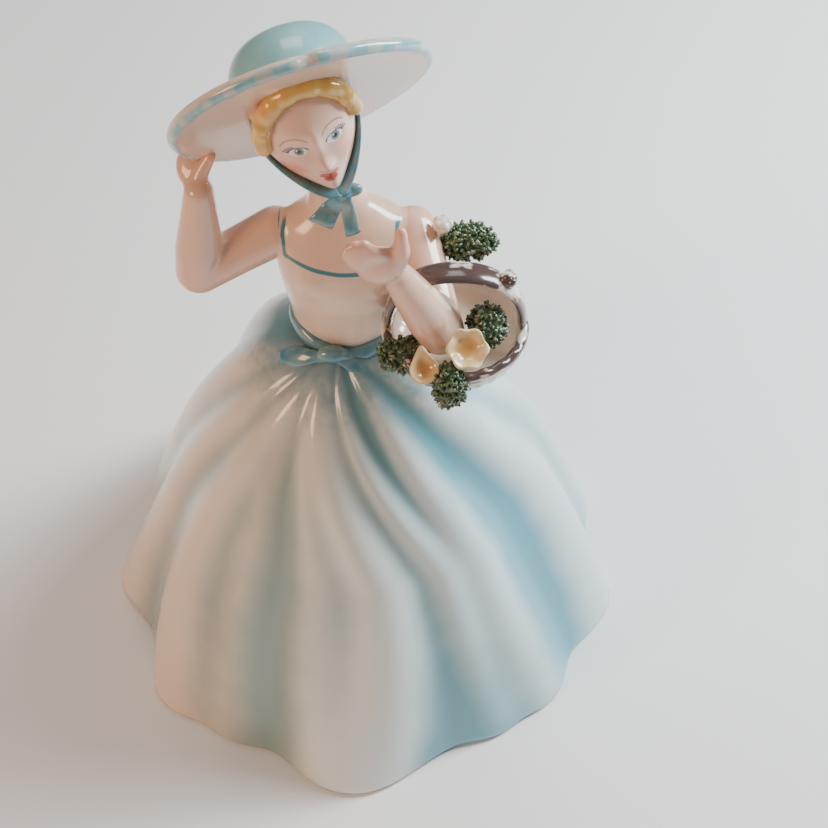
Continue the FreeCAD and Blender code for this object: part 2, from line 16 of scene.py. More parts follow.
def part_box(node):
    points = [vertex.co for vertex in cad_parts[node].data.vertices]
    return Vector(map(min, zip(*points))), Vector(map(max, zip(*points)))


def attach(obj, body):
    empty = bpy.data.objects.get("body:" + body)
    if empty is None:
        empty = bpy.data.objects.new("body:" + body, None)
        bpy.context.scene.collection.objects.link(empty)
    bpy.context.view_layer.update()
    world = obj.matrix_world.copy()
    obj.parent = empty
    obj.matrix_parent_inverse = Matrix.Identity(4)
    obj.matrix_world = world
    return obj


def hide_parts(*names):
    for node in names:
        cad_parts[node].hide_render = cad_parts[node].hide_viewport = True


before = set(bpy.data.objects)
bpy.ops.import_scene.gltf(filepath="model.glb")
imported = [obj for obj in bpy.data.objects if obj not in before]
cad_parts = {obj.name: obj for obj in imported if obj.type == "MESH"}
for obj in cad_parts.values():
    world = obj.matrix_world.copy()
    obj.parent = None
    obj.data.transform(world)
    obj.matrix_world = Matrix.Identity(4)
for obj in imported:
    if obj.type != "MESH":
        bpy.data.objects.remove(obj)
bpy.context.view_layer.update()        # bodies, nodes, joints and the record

# %% [markdown]
# ## Landmarks
# A sculptor marks the waist, the head and the elbows before adding clay. We do the same in
# millimetres. The places come from the boxes of the designed pieces, so that everything
# modelled here sits where the design says.

# %% Landmarks
MM = 0.001


def middle(node):
    """The middle of a designed piece, in millimetres."""
    low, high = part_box(node)
    return (Vector(low) + Vector(high)) / (2 * MM)


def turned(degrees, axis):
    """A rotation about one axis."""
    return Matrix.Rotation(math.radians(degrees), 4, axis)


WAIST_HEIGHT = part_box("skirt")[1][2] / MM
HEM_RADIUS = 59.5
WAIST = Vector((-1.5, 1.5, WAIST_HEIGHT))
HEAD = middle("head")
HEAD_TURN = turned(16.5, "Z") @ turned(-8.7, "X") @ turned(-15.6, "Y")
HAT_TURN = HEAD_TURN @ turned(7.3, "Y") @ turned(-48.5, "X")
HAT = HEAD + HAT_TURN @ Vector((0.6, 1.2, 1.6))
BASKET = middle("basket_rim")
print("waist at", [round(v, 1) for v in WAIST], "head at", [round(v, 1) for v in HEAD])

# %% [markdown]
# ## The workbench
# Every piece is modelled round its own centre, in millimetres, because that is easy to think
# in. When it is finished, each point stores its own millimetre place in an attribute called
# `local`, and the mesh is then moved to its place in the figurine. The paint is laid out on
# `local`, so a cheek or a stripe stays where it belongs.

# %% Helpers for finishing a piece
def place(turn=None, centre=Vector()):
    """A matrix that turns a piece, then moves it to its centre, in millimetres."""
    return Matrix.Translation(centre) @ (turn or Matrix())


def finish_piece(name, bm, glaze, matrix=None, nodes=None):
    """Turns modelled clay into a piece, which stands for the designed piece of that name."""
    nodes = nodes or [name]
    mesh = bpy.data.meshes.new(name)
    bm.to_mesh(mesh)
    bm.free()
    local = mesh.attributes.new("local", "FLOAT_VECTOR", "POINT")
    for vertex in mesh.vertices:
        local.data[vertex.index].vector = vertex.co
    mesh.transform(Matrix.Scale(MM, 4) @ (matrix or Matrix()))
    mesh.shade_smooth()
    piece = bpy.data.objects.new(name, mesh)
    bpy.context.collection.objects.link(piece)
    mesh.materials.append(glaze)
    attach(piece, "root")
    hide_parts(*nodes)
    print(name, "has", len(mesh.polygons), "faces")
    return piece


def tidy(bm):
    """Merges doubled points and turns every face outwards."""
    bmesh.ops.remove_doubles(bm, verts=bm.verts, dist=1e-4)
    bmesh.ops.recalc_face_normals(bm, faces=bm.faces)
    return bm


# %% [markdown]
# ## Soft clay
# Arms, shoulders and hands have no hard edges. We press simple lumps together, and a voxel
# remesh joins them into one skin, as wet clay joins. A few rounds of smoothing are the damp
# sponge that takes the joints away.

# %% Helpers for soft clay
def lump(bm, centre, radii, turn=None):
    """An egg of clay."""
    matrix = place(turn, Vector(centre)) @ Matrix.Diagonal((*radii, 1))
    bmesh.ops.create_icosphere(bm, subdivisions=4, radius=1, matrix=matrix)


def roll(bm, points):
    """A roll of clay through (place, radius) points, thicker or thinner as it goes."""
    for (start, start_radius), (end, end_radius) in zip(points, points[1:]):
        start, end = Vector(start), Vector(end)
        run = end - start
        turn = run.to_track_quat("Z", "Y").to_matrix().to_4x4()
        bmesh.ops.create_cone(bm, cap_ends=True, segments=40, radius1=start_radius,
                              radius2=end_radius, depth=run.length,
                              matrix=place(turn, (start + end) / 2))
    for centre, radius in points:
        lump(bm, centre, (radius, radius, radius))


def joined(bm, voxel, rounds):
    """Joins the lumps into one skin and sponges it smooth."""
    mesh = bpy.data.meshes.new("lumps")
    bm.to_mesh(mesh)
    bm.free()
    blank = bpy.data.objects.new("lumps", mesh)
    bpy.context.collection.objects.link(blank)
    skin = blank.modifiers.new("skin", "REMESH")
    skin.mode = "VOXEL"
    skin.voxel_size = voxel
    graph = bpy.context.evaluated_depsgraph_get()
    cast = bpy.data.meshes.new_from_object(blank.evaluated_get(graph))
    bpy.data.objects.remove(blank)
    soft = bmesh.new()
    soft.from_mesh(cast)
    bpy.data.meshes.remove(cast)
    for _ in range(rounds):
        bmesh.ops.smooth_vert(soft, verts=soft.verts, factor=0.5,
                              use_axis_x=True, use_axis_y=True, use_axis_z=True)
    return soft


def spun(bm, outline, steps=96):
    """Throws an outline of (radius, height) points round the Z axis, as on a wheel."""
    points = [bm.verts.new((radius, 0, height)) for radius, height in outline]
    edges = [bm.edges.new(pair) for pair in zip(points, points[1:])]
    bmesh.ops.spin(bm, geom=points + edges, axis=(0, 0, 1), cent=(0, 0, 0),
                   angle=2 * math.pi, steps=steps, use_merge=True)
    return tidy(bm)


def oval(centre, across, up, steps=64):
    """Points round an oval whose half widths are the two vectors."""
    centre, across, up = Vector(centre), Vector(across), Vector(up)
    return [centre + across * math.cos(2 * math.pi * step / steps)
            + up * math.sin(2 * math.pi * step / steps) for step in range(steps)]


def loft(bm, rings):
    """A closed skin through rings that have the same number of points."""
    verts = bmesh.ops.create_circle(bm, cap_ends=True, segments=len(rings[0]), radius=1)["verts"]
    order = {vertex: step for step, vertex in enumerate(verts)}
    edges = list({edge for vertex in verts for edge in vertex.link_edges})
    for level, ring in enumerate(rings):
        if level:
            made = bmesh.ops.extrude_edge_only(bm, edges=edges)["geom"]
            edges = [item for item in made if isinstance(item, bmesh.types.BMEdge)]
            fresh = [item for item in made if isinstance(item, bmesh.types.BMVert)]
            older = order
            order = {}
            for vertex in fresh:
                mates = [edge.other_vert(vertex) for edge in vertex.link_edges]
                order[vertex] = next(older[mate] for mate in mates if mate in older)
        for vertex, step in order.items():
            vertex.co = ring[step]
    bmesh.ops.contextual_create(bm, geom=edges)
    bmesh.ops.recalc_face_normals(bm, faces=bm.faces)
    return bm


def strip(bm, path, steps=14):
    """A ribbon through (place, half width vector, half thickness vector) stations."""
    first, last = path[0], path[-1]
    ends = [(first[0], first[1] * 0.05, first[2] * 0.05), *path,
            (last[0], last[1] * 0.05, last[2] * 0.05)]
    return loft(bm, [oval(centre, wide, thick, steps) for centre, wide, thick in ends])


def bump(distance, width):
    """A smooth hill: 1 at its middle, and nearly 0 two widths away."""
    return math.exp(-(distance / width) ** 2)


# %% [markdown]
# ## Mixing glazes
# Shader nodes are a sum written as a drawing. The small class below lets us write the sum
# itself, so `1 - fold * 0.4` adds its own Math nodes. Anything that isn't arithmetic comes
# from one method, `node`, that takes a node's type, its settings and its inputs.

# %% A class for shader sums
class Wire:
    """One output socket, which Python's operators can work with."""

    def __init__(self, glaze, socket):
        self.glaze = glaze
        self.socket = socket

    def sum(self, operation, first, second):
        return self.glaze.node("ShaderNodeMath", {"operation": operation}, {0: first, 1: second})

    def __add__(self, other):
        return self.sum("ADD", self, other)

    def __radd__(self, other):
        return self.sum("ADD", other, self)

    def __sub__(self, other):
        return self.sum("SUBTRACT", self, other)

    def __rsub__(self, other):
        return self.sum("SUBTRACT", other, self)

    def __mul__(self, other):
        return self.sum("MULTIPLY", self, other)

    def __rmul__(self, other):
        return self.sum("MULTIPLY", other, self)

    def __truediv__(self, other):
        return self.sum("DIVIDE", self, other)

    def __pow__(self, other):
        return self.sum("POWER", self, other)

    def most(self, other):
        return self.sum("MAXIMUM", self, other)

    def least(self, other):
        return self.sum("MINIMUM", self, other)

    def sine(self):
        return self.sum("SINE", self, 0.0)

    def bearing(self, other):
        return self.sum("ARCTAN2", self, other)

    def clamped(self):
        return self.least(1.0).most(0.0)


class Glaze:
    """A glaze being mixed."""

    def __init__(self, name):
        self.material = bpy.data.materials.new(name)
        self.material.use_nodes = True
        self.tree = self.material.node_tree
        self.tree.nodes.clear()
        local = self.node("ShaderNodeAttribute", {"attribute_name": "local"}, {}, "Vector")
        self.local = local
        self.x, self.y, self.z = self.parts(local)

    def node(self, kind, settings, inputs, output=0):
        """Any node: its settings are set first, then its inputs get values or links."""
        node = self.tree.nodes.new(kind)
        for key, value in settings.items():
            setattr(node, key, value)
        for key, value in inputs.items():
            socket = node.inputs[key]
            if isinstance(value, Wire):
                self.tree.links.new(value.socket, socket)
            else:
                socket.default_value = value
        return Wire(self, node.outputs[output]) if node.outputs else None

    def parts(self, vector):
        """The three parts of a vector."""
        first = self.node("ShaderNodeSeparateXYZ", {}, {0: vector})
        outputs = first.socket.node.outputs
        return [Wire(self, outputs[axis]) for axis in range(3)]

    def attribute(self, name):
        """A value that the mesh stores at each point."""
        return self.node("ShaderNodeAttribute", {"attribute_name": name}, {}, "Fac")

    def noise(self, size, detail=2.0, vector=None):
        """Cloudy noise from 0 to 1, whose blotches are about this size in millimetres."""
        return self.node("ShaderNodeTexNoise", {},
                         {"Vector": vector or self.local, "Scale": 1 / size,
                          "Detail": detail, "Roughness": 0.55})

    def edge(self, value, inside, outside):
        """A mask: 1 below inside, 0 above outside, and smooth between."""
        return self.node("ShaderNodeMapRange", {"interpolation_type": "SMOOTHSTEP"},
                         {0: value, 1: inside, 2: outside, 3: 1.0, 4: 0.0})

    def mixed(self, mask, base, over):
        """Paints one colour over another through a mask."""
        base = base if isinstance(base, Wire) else (*base, 1)
        over = over if isinstance(over, Wire) else (*over, 1)
        return self.node("ShaderNodeMix", {"data_type": "RGBA"}, {0: mask, 6: base, 7: over}, 2)

    def oval(self, across, up, middle, radii):
        """Distance from an oval's middle: 1 on its outline."""
        first = (across - middle[0]) / radii[0]
        second = (up - middle[1]) / radii[1]
        return (first * first + second * second) ** 0.5

    def stroke(self, across, up, start, end):
        """Distance from a straight stroke."""
        run = (end[0] - start[0], end[1] - start[1])
        length = run[0] ** 2 + run[1] ** 2
        first, second = across - start[0], up - start[1]
        along = ((first * run[0] + second * run[1]) / length).clamped()
        first, second = first - along * run[0], second - along * run[1]
        return (first * first + second * second) ** 0.5

    def fired(self, colour, roughness=0.16, shine=0.7, relief=None, depth=0.05):
        """Fires the glaze: a glassy coat over the painted colour."""
        wave = self.noise(5.0, 1.0) if relief is None else relief
        normal = self.node("ShaderNodeBump", {}, {"Strength": 0.35, "Distance": depth * MM,
                                                  "Height": wave})
        colour = colour if isinstance(colour, Wire) else (*colour, 1)
        dull = self.noise(1.6, 3.0) * 0.08 + roughness
        skin = self.node("ShaderNodeBsdfPrincipled", {},
                         {"Base Color": colour, "Roughness": dull, "Normal": normal,
                          "Coat Weight": shine, "Coat Roughness": 0.06, "Coat IOR": 1.5})
        self.node("ShaderNodeOutputMaterial", {}, {0: skin})
        return self.material


# %% [markdown]
# ## Camera
# The figurine is seen from above and a little in front, as it would be on a low table.

# %% Camera, floor and lights
CAMERA_AIM = Vector((12, 0, 62)) * MM
CAMERA_AWAY = 350 * MM
CAMERA_RISE = math.radians(52)
FLOOR_SIZE = 3.0
FLOOR_PALE = (0.92, 0.92, 0.92, 1)
LAMP_AIM = Vector((0, 0, 0.08))

camera_data = bpy.data.cameras.new("camera")
camera_data.lens = 68.7
camera_data.sensor_width = 36
camera = bpy.data.objects.new("camera", camera_data)
bpy.context.collection.objects.link(camera)
backwards = Vector((0, -math.cos(CAMERA_RISE), math.sin(CAMERA_RISE)))
camera.location = CAMERA_AIM + backwards * CAMERA_AWAY
camera.rotation_euler = (math.radians(90) - CAMERA_RISE, 0, 0)
bpy.context.scene.camera = camera

floor_clay = bmesh.new()
bmesh.ops.create_grid(floor_clay, x_segments=1, y_segments=1, size=FLOOR_SIZE)
floor_mesh = bpy.data.meshes.new("floor")
floor_clay.to_mesh(floor_mesh)
floor_clay.free()
floor = bpy.data.objects.new("floor", floor_mesh)
bpy.context.collection.objects.link(floor)
paper = bpy.data.materials.new("pale_paper")
paper.use_nodes = True
paper_inputs = paper.node_tree.nodes["Principled BSDF"].inputs
paper_inputs["Base Color"].default_value = FLOOR_PALE
paper_inputs["Roughness"].default_value = 0.9
floor_mesh.materials.append(paper)


def soft_light(name, start, size, power, colour):
    """A soft oblong lamp that looks at the middle of the figurine."""
    data = bpy.data.lights.new(name, "AREA")
    data.shape = "RECTANGLE"
    data.size, data.size_y = size
    data.energy = power
    data.color = colour
    lamp = bpy.data.objects.new(name, data)
    bpy.context.collection.objects.link(lamp)
    lamp.location = start
    lamp.rotation_euler = (LAMP_AIM - Vector(start)).to_track_quat("-Z", "Y").to_euler()


soft_light("window_light", (0.42, 0.16, 0.40), (0.16, 0.40), 6.5, (0.90, 0.97, 1.0))
soft_light("room_light", (-0.5, -0.35, 0.35), (0.22, 0.22), 2.2, (1.0, 0.58, 0.32))
soft_light("top_light", (-0.05, 0.25, 0.7), (0.3, 0.25), 0.9, (1.0, 0.98, 0.95))
world = bpy.data.worlds.new("studio")
bpy.context.scene.world = world
world.use_nodes = True
sky_inputs = world.node_tree.nodes["Background"].inputs
sky_inputs["Color"].default_value = (0.95, 0.95, 0.97, 1)
sky_inputs["Strength"].default_value = 0.22
print("the camera stands", round(camera.location.length * 1000), "mm away")

# %% [markdown]
# ## The skirt
# The skirt is one hollow shell. Its flare is a power curve: it leaves the waist almost flat
# and falls steeply at the hem. The folds start at a gather in front of the waist, sweep out
# and settle at the hem, so each fold has three bearings: at the waist, half way and at the
# hem. We throw a smooth shell on the wheel first and then press the folds in.

# %% The skirt's folds
FOLDS = [
    # bearings at the waist, half way and hem, half width, strength half way and at the hem
    (175, 158, 152, 14, 0.9, 1.0),
    (200, 184, 183, 12, 0.9, 1.1),
    (222, 208, 219, 12, 0.95, 1.1),
    (229, 230, 236, 11, 0.6, 0.55),
    (238, 259, 262, 11, 0.75, 0.75),
    (242, 281, 270, 14, 1.1, 1.15),
    (264, 304, 306, 9, 0.85, 0.45),
    (300, 317, 321, 11, 0.95, 0.75),
    (335, 355, 350, 14, 1.05, 1.1),
    (358, 22, 24, 13, 0.9, 1.0),
    (30, 55, 57, 13, 0.9, 1.0),
    (80, 88, 88, 14, 1.0, 1.0),
    (130, 121, 120, 14, 0.9, 1.0),
]
FLARE = 0.6
FOLD_START = 0.4
FOLD_DEPTH = 6.5
HALFWAY = 0.45
FOLD_MEAN = 0.75
GATHER = Vector((-3.0, -7.0, 0.0))
WAIST_HALF_WIDTH = 11.2
WAIST_HALF_DEPTH = 9.2
HEM_DEEPER = 2
HEM_TURN = 0.985
SKIRT_LEVELS = 100
SKIRT_STEPS = 400
SKIRT_WALL = 2.4


def around(first, second):
    """How far one bearing is from another, from -180 to 180."""
    return (first - second + 180) % 360 - 180


def gather_bearing(across, along, flare):
    """A point's bearing in degrees, seen from a centre that slides from the gather to the foot."""
    slide = (1 - flare) ** 0.5
    return math.degrees(math.atan2(along - GATHER.y * slide, across - GATHER.x * slide))


def fold_height(bearing, drop):
    """How high the folds stand at a bearing, from 0 in a valley to 1 on a ridge."""
    squares = 0.0
    for waist, halfway, hem, half_width, strength, hem_strength in FOLDS:
        share = (drop - HALFWAY) / (1 - HALFWAY)
        if share > 0:
            sway = around(hem, halfway) * share ** 2
            strength += (hem_strength - strength) * share
        else:
            sway = around(waist, halfway) * (1 - drop / HALFWAY) ** 1.3
        off = around(bearing, halfway + sway)
        squares += (strength * bump(off, half_width)) ** 2
    return math.sqrt(squares)


def make_skirt_clay():
    """The folded shell, with its fold height kept at every point."""
    bm = bmesh.new()
    drops = [(level / SKIRT_LEVELS) ** 1.5 for level in range(SKIRT_LEVELS + 1)]
    spun(bm, [(0.001 + drop, 1 - drop) for drop in drops], SKIRT_STEPS)
    ridge = bm.verts.layers.float.new("fold")
    fall = bm.verts.layers.float.new("drop")
    spread = HEM_RADIUS - WAIST_HALF_WIDTH
    for vertex in bm.verts:
        drop = min(max(1 - vertex.co.z, 0.0), 1.0)
        angle = math.atan2(vertex.co.y, vertex.co.x)
        flare = drop ** FLARE
        centre = WAIST * (1 - flare)
        across = centre.x + (WAIST_HALF_WIDTH + spread * flare) * math.cos(angle)
        half_depth = WAIST_HALF_DEPTH + (spread + HEM_DEEPER) * flare
        along = centre.y + half_depth * math.sin(angle)
        height = fold_height(gather_bearing(across, along, flare), drop)
        near_hem = max(0.0, (drop - HEM_TURN) / (1 - HEM_TURN))
        pressed = FOLD_DEPTH * drop ** FOLD_START * (height - FOLD_MEAN) - near_hem ** 2
        vertex.co = (across + pressed * math.cos(angle), along + pressed * math.sin(angle),
                     WAIST_HEIGHT * (1 - drop))
        vertex[ridge] = height
        vertex[fall] = drop
    return bm


def mix_skirt_glaze():
    """White glaze that is thin on the ridges, and blue that pools in the valleys, darkened there
    with painted shade; the left side gets a painted warm reflection.
    """
    glaze = Glaze("skirt_glaze")
    fold = glaze.attribute("fold")
    drop = glaze.attribute("drop")
    cloud = glaze.noise(14.0, 2.0) - 0.5
    # The valleys get the pooled blue wash and, on top of it, painted shade: the valley colours are
    # darker than the wash alone.
    valley_wash_and_shade = glaze.edge(fold + cloud * 0.3, 0.15, 1.0)
    side = glaze.edge(0.0 - glaze.x, -34.0, 16.0)
    # Painted warm reflection: the cream turns orange towards the left side, as if lit by warm light
    # from there.
    painted_warm_reflection = glaze.edge(glaze.x, -44.0, 6.0)
    blue_wash_and_shade = (valley_wash_and_shade * 0.95 + side * 0.18).clamped()
    cream = glaze.mixed(painted_warm_reflection, (0.80, 0.80, 0.74), (0.86, 0.70, 0.53))
    cream = glaze.mixed(side, cream, (0.72, 0.84, 0.86))
    # These dark valley colours are painted shade as well as the blue wash.
    blue = glaze.mixed(side, (0.22, 0.32, 0.30), (0.10, 0.38, 0.48))
    colour = glaze.mixed(blue_wash_and_shade, cream, blue)
    brushed = glaze.noise(2.5, 3.0) - 0.5
    gather = glaze.edge(drop + brushed * 0.10, 0.0, 0.12)
    colour = glaze.mixed(gather * 0.8, colour, (0.10, 0.26, 0.33))
    speck = glaze.node("ShaderNodeTexVoronoi", {}, {"Vector": glaze.local, "Scale": 0.045})
    fleck = glaze.edge(speck, 0.012, 0.02)
    colour = glaze.mixed(fleck * 0.7, colour, (0.30, 0.17, 0.09))
    return glaze.fired(colour, 0.18, 0.65)


skirt = finish_piece("skirt", make_skirt_clay(), mix_skirt_glaze())
shell = skirt.modifiers.new("wall", "SOLIDIFY")
shell.thickness = SKIRT_WALL * MM
shell.offset = -1

# %% [markdown]
# ## The torso
# The bodice is lofted from ovals, like slices of bread, from the waist up into the neck. Two
# lumps make the bust, and two balls are the shoulders where the arms are joined on.

# %% The torso
TORSO_SLICES = [
    (0.0, 0.0, -3.0, 11.4, 9.4),
    (0.0, 0.0, 1.0, 11.2, 9.0),
    (0.0, -0.1, 7.0, 11.8, 9.2),
    (0.0, -0.4, 13.0, 12.8, 9.8),
    (0.0, -0.6, 18.0, 13.5, 9.8),
    (0.0, -0.2, 22.0, 13.7, 9.2),
    (0.0, 0.5, 26.0, 13.4, 7.8),
    (-0.1, 1.0, 29.5, 11.6, 6.4),
    (-0.4, 1.2, 31.6, 8.4, 5.4),
    (-1.0, 1.0, 34.0, 5.9, 5.0),
    (-2.0, 0.6, 38.0, 4.7, 4.7),
    (-4.4, -0.4, 46.0, 4.5, 4.7),
    (-5.4, -0.8, 50.0, 4.5, 4.7),
]
SHOULDER_OUT = 13.4
SHOULDER_UP = 24.8


def make_torso_clay():
    bm = bmesh.new()
    loft(bm, [oval((x, y, height), (half_width, 0, 0), (0, half_depth, 0))
              for x, y, height, half_width, half_depth in TORSO_SLICES])
    for side in (-1, 1):
        lump(bm, (5.0 * side, -5.4, 18.4), (5.0, 4.6, 5.6))
        lump(bm, (SHOULDER_OUT * side, 1.2, SHOULDER_UP), (5.0, 5.0, 5.0))
    return joined(bm, 0.5, 14)


def mix_torso_glaze():
    """Skin above a painted neckline and a cream bodice below it."""
    glaze = Glaze("bodice_glaze")
    x, z = glaze.x, glaze.z
    front = glaze.edge(glaze.y, -1.0, 1.0)
    wobble = (glaze.noise(3.0, 2.0) - 0.5) * 0.5
    neckline = glaze.stroke(x + wobble, z, (-11.8, 27.6), (-11.4, 23.6))
    corners = [(-11.4, 23.9), (-6.0, 23.2), (-1.0, 22.8), (5.0, 22.8), (9.6, 24.2), (10.6, 31.0)]
    for start, end in zip(corners, corners[1:]):
        neckline = neckline.least(glaze.stroke(x + wobble, z, start, end))
    neckline = neckline.least(glaze.stroke(x + wobble, z, (-11.8, 27.6), (-11.0, 31.5)))
    armhole = glaze.stroke(x, z, (-12.6, 29.5), (-14.0, 17.5))
    thin = glaze.edge(armhole, 0.12, 0.34)
    line = (glaze.edge(neckline, 0.28, 0.52) * front).most(thin)
    below = glaze.edge(z, 22.8, 24.0)
    skin = (0.80, 0.50, 0.36)
    cream = (0.82, 0.60, 0.45)
    colour = glaze.mixed(below, skin, cream)
    shade = glaze.noise(9.0, 1.0)
    colour = glaze.mixed(shade * 0.25, colour, (0.86, 0.72, 0.60))
    colour = glaze.mixed(line, colour, (0.07, 0.22, 0.28))
    waist = glaze.edge(z + (glaze.noise(2.0, 2.0) - 0.5) * 3.0, 2.0, 5.0)
    colour = glaze.mixed(waist * 0.4, colour, (0.40, 0.58, 0.62))
    return glaze.fired(colour, 0.17, 0.6)


finish_piece("torso", make_torso_clay(), mix_torso_glaze(), place(None, WAIST),
             ["bodice", "neck"])

# %% [markdown]
# ## The arms and hands
# Each arm is a roll of clay that swells at the elbow and thins at the wrist. The hand is a
# flat egg with four fingers laid side by side and a thumb. Small fingers are cast almost
# as one mitten, so they only need shallow grooves between them.

# %% The arms
RIGHT_SHOULDER = (-SHOULDER_OUT, 1.2, SHOULDER_UP)
RIGHT_ELBOW = (-28.8, -3.0, 18.0)
RIGHT_WRIST = (-26.6, -3.0, 39.0)
LEFT_SHOULDER = (SHOULDER_OUT, 1.2, SHOULDER_UP)
LEFT_ELBOW = (18.6, -17.4, 16.2)
LEFT_WRIST = (10.8, -19.6, 33.6)


def between(start, end, share):
    """A point part of the way from one place to another."""
    return Vector(start).lerp(Vector(end), share)


def fingers(bm, root, tip, across, radius, curl):
    """Four fingers side by side, each a little shorter than the middle one."""
    for finger, length in enumerate((0.86, 1.0, 0.97, 0.80)):
        shift = Vector(across) * (finger - 1.5)
        start = Vector(root) + shift
        end = Vector(root).lerp(Vector(tip), length) + shift * 0.85
        bend = between(start, end, 0.55) + Vector(curl)
        roll(bm, [(start, radius * 1.1), (bend, radius), (end, radius * 0.78)])


def make_right_arm_clay():
    bm = bmesh.new()
    roll(bm, [(RIGHT_SHOULDER, 5.0), (between(RIGHT_SHOULDER, RIGHT_ELBOW, 0.5), 4.7),
              (RIGHT_ELBOW, 4.7), (between(RIGHT_ELBOW, RIGHT_WRIST, 0.3), 4.7),
              (between(RIGHT_ELBOW, RIGHT_WRIST, 0.7), 3.7), (RIGHT_WRIST, 3.0)])
    lump(bm, (-27.7, 0.8, 42.2), (3.3, 2.2, 4.4), turned(-46, "X"))
    fingers(bm, (-28.0, 3.4, 44.4), (-24.7, 4.6, 48.4), (0.9, 0.3, 0.9), 1.25, (-0.6, 0.8, 0.3))
    roll(bm, [((-26.4, -1.6, 41.6), 1.7), ((-25.4, -1.0, 43.6), 1.5), ((-23.9, -0.4, 45.8), 1.2)])
    return joined(bm, 0.4, 10)


def make_left_arm_clay():
    bm = bmesh.new()
    roll(bm, [(LEFT_SHOULDER, 5.0), (between(LEFT_SHOULDER, LEFT_ELBOW, 0.5), 4.7),
              (LEFT_ELBOW, 4.7), (between(LEFT_ELBOW, LEFT_WRIST, 0.3), 4.7),
              (between(LEFT_ELBOW, LEFT_WRIST, 0.7), 3.8), (LEFT_WRIST, 3.0)])
    lump(bm, (7.4, -20.8, 38.0), (4.6, 2.3, 4.6), turned(-38, "Y"))
    fingers(bm, (6.4, -21.0, 39.4), (2.4, -22.4, 44.6), (1.2, -0.1, 1.2), 1.3, (0.0, -0.5, -0.4))
    roll(bm, [((9.8, -20.0, 36.4), 2.2), ((11.2, -20.6, 41.6), 1.8), ((11.2, -20.8, 46.6), 1.15)])
    return joined(bm, 0.4, 8)


def mix_skin_glaze():
    """Peach enamel, warmer towards the finger tips."""
    glaze = Glaze("skin_glaze")
    blotch = glaze.noise(6.0, 2.0)
    colour = glaze.mixed(blotch * 0.4, (0.82, 0.49, 0.35), (0.86, 0.62, 0.50))
    tips = glaze.edge(0.0 - glaze.z, -46.0, -38.0)
    colour = glaze.mixed(tips * 0.4, colour, (0.80, 0.32, 0.20))
    return glaze.fired(colour, 0.17, 0.6)


skin_glaze = mix_skin_glaze()
finish_piece("right_arm", make_right_arm_clay(), skin_glaze, place(None, WAIST))
finish_piece("left_arm", make_left_arm_clay(), skin_glaze, place(None, WAIST))

# %% [markdown]
# ## The head
# The face follows the rules in drawing books. The eyes are half way down the head and one
# eye's width apart, the nose ends half way from the eyes to the chin, and the lips sit a
# third of the way below it. We start from an egg and push the features in and out.

# %% The head
HEAD_RADII = (9.0, 9.8, 12.8)
EYE_OUT = 3.5
EYE_UP = -0.6
NOSE_TIP = -4.6
LIPS = -7.4
# middle across, middle up, width across, width up, push outwards
FEATURES = [
    (0.0, 0.2, 1.0, 2.6, 0.65),
    (0.0, NOSE_TIP, 1.15, 1.5, 1.75),
    (-0.9, NOSE_TIP - 0.5, 0.7, 0.7, 0.45),
    (0.9, NOSE_TIP - 0.5, 0.7, 0.7, 0.45),
    (-EYE_OUT, EYE_UP + 0.1, 1.9, 1.3, -0.55),
    (EYE_OUT, EYE_UP + 0.1, 1.9, 1.3, -0.55),
    (-EYE_OUT, EYE_UP, 1.1, 0.7, 0.35),
    (EYE_OUT, EYE_UP, 1.1, 0.7, 0.35),
    (0.0, EYE_UP + 3.4, 4.8, 1.2, 0.25),
    (-4.8, -4.2, 2.2, 2.2, 0.35),
    (4.8, -4.2, 2.2, 2.2, 0.35),
    (0.0, LIPS + 0.55, 1.7, 0.45, 0.42),
    (0.0, LIPS - 0.55, 1.4, 0.5, 0.48),
    (0.0, LIPS, 1.8, 0.22, -0.22),
    (0.0, LIPS - 1.2, 5.0, 3.4, 1.3),
    (0.0, LIPS - 3.6, 3.0, 2.6, 2.6),
    (0.0, LIPS - 3.9, 1.5, 1.1, 0.5),
]


def make_head_clay():
    bm = bmesh.new()
    bmesh.ops.create_icosphere(bm, subdivisions=6, radius=1)
    for vertex in bm.verts:
        across, back, up = vertex.co
        jaw = max(0.0, -up)
        across *= HEAD_RADII[0] * (1 - 0.24 * jaw ** 1.6)
        up *= HEAD_RADII[2]
        back *= HEAD_RADII[1] * (1 - 0.05 * jaw ** 2)
        if back < 0:
            facing = min(1.0, -back / 3)
            push = sum(depth * bump(across - x, wide) * bump(up - z, high)
                       for x, z, wide, high, depth in FEATURES)
            back -= push * facing
        vertex.co = (across, back, up)
    return tidy(bm)


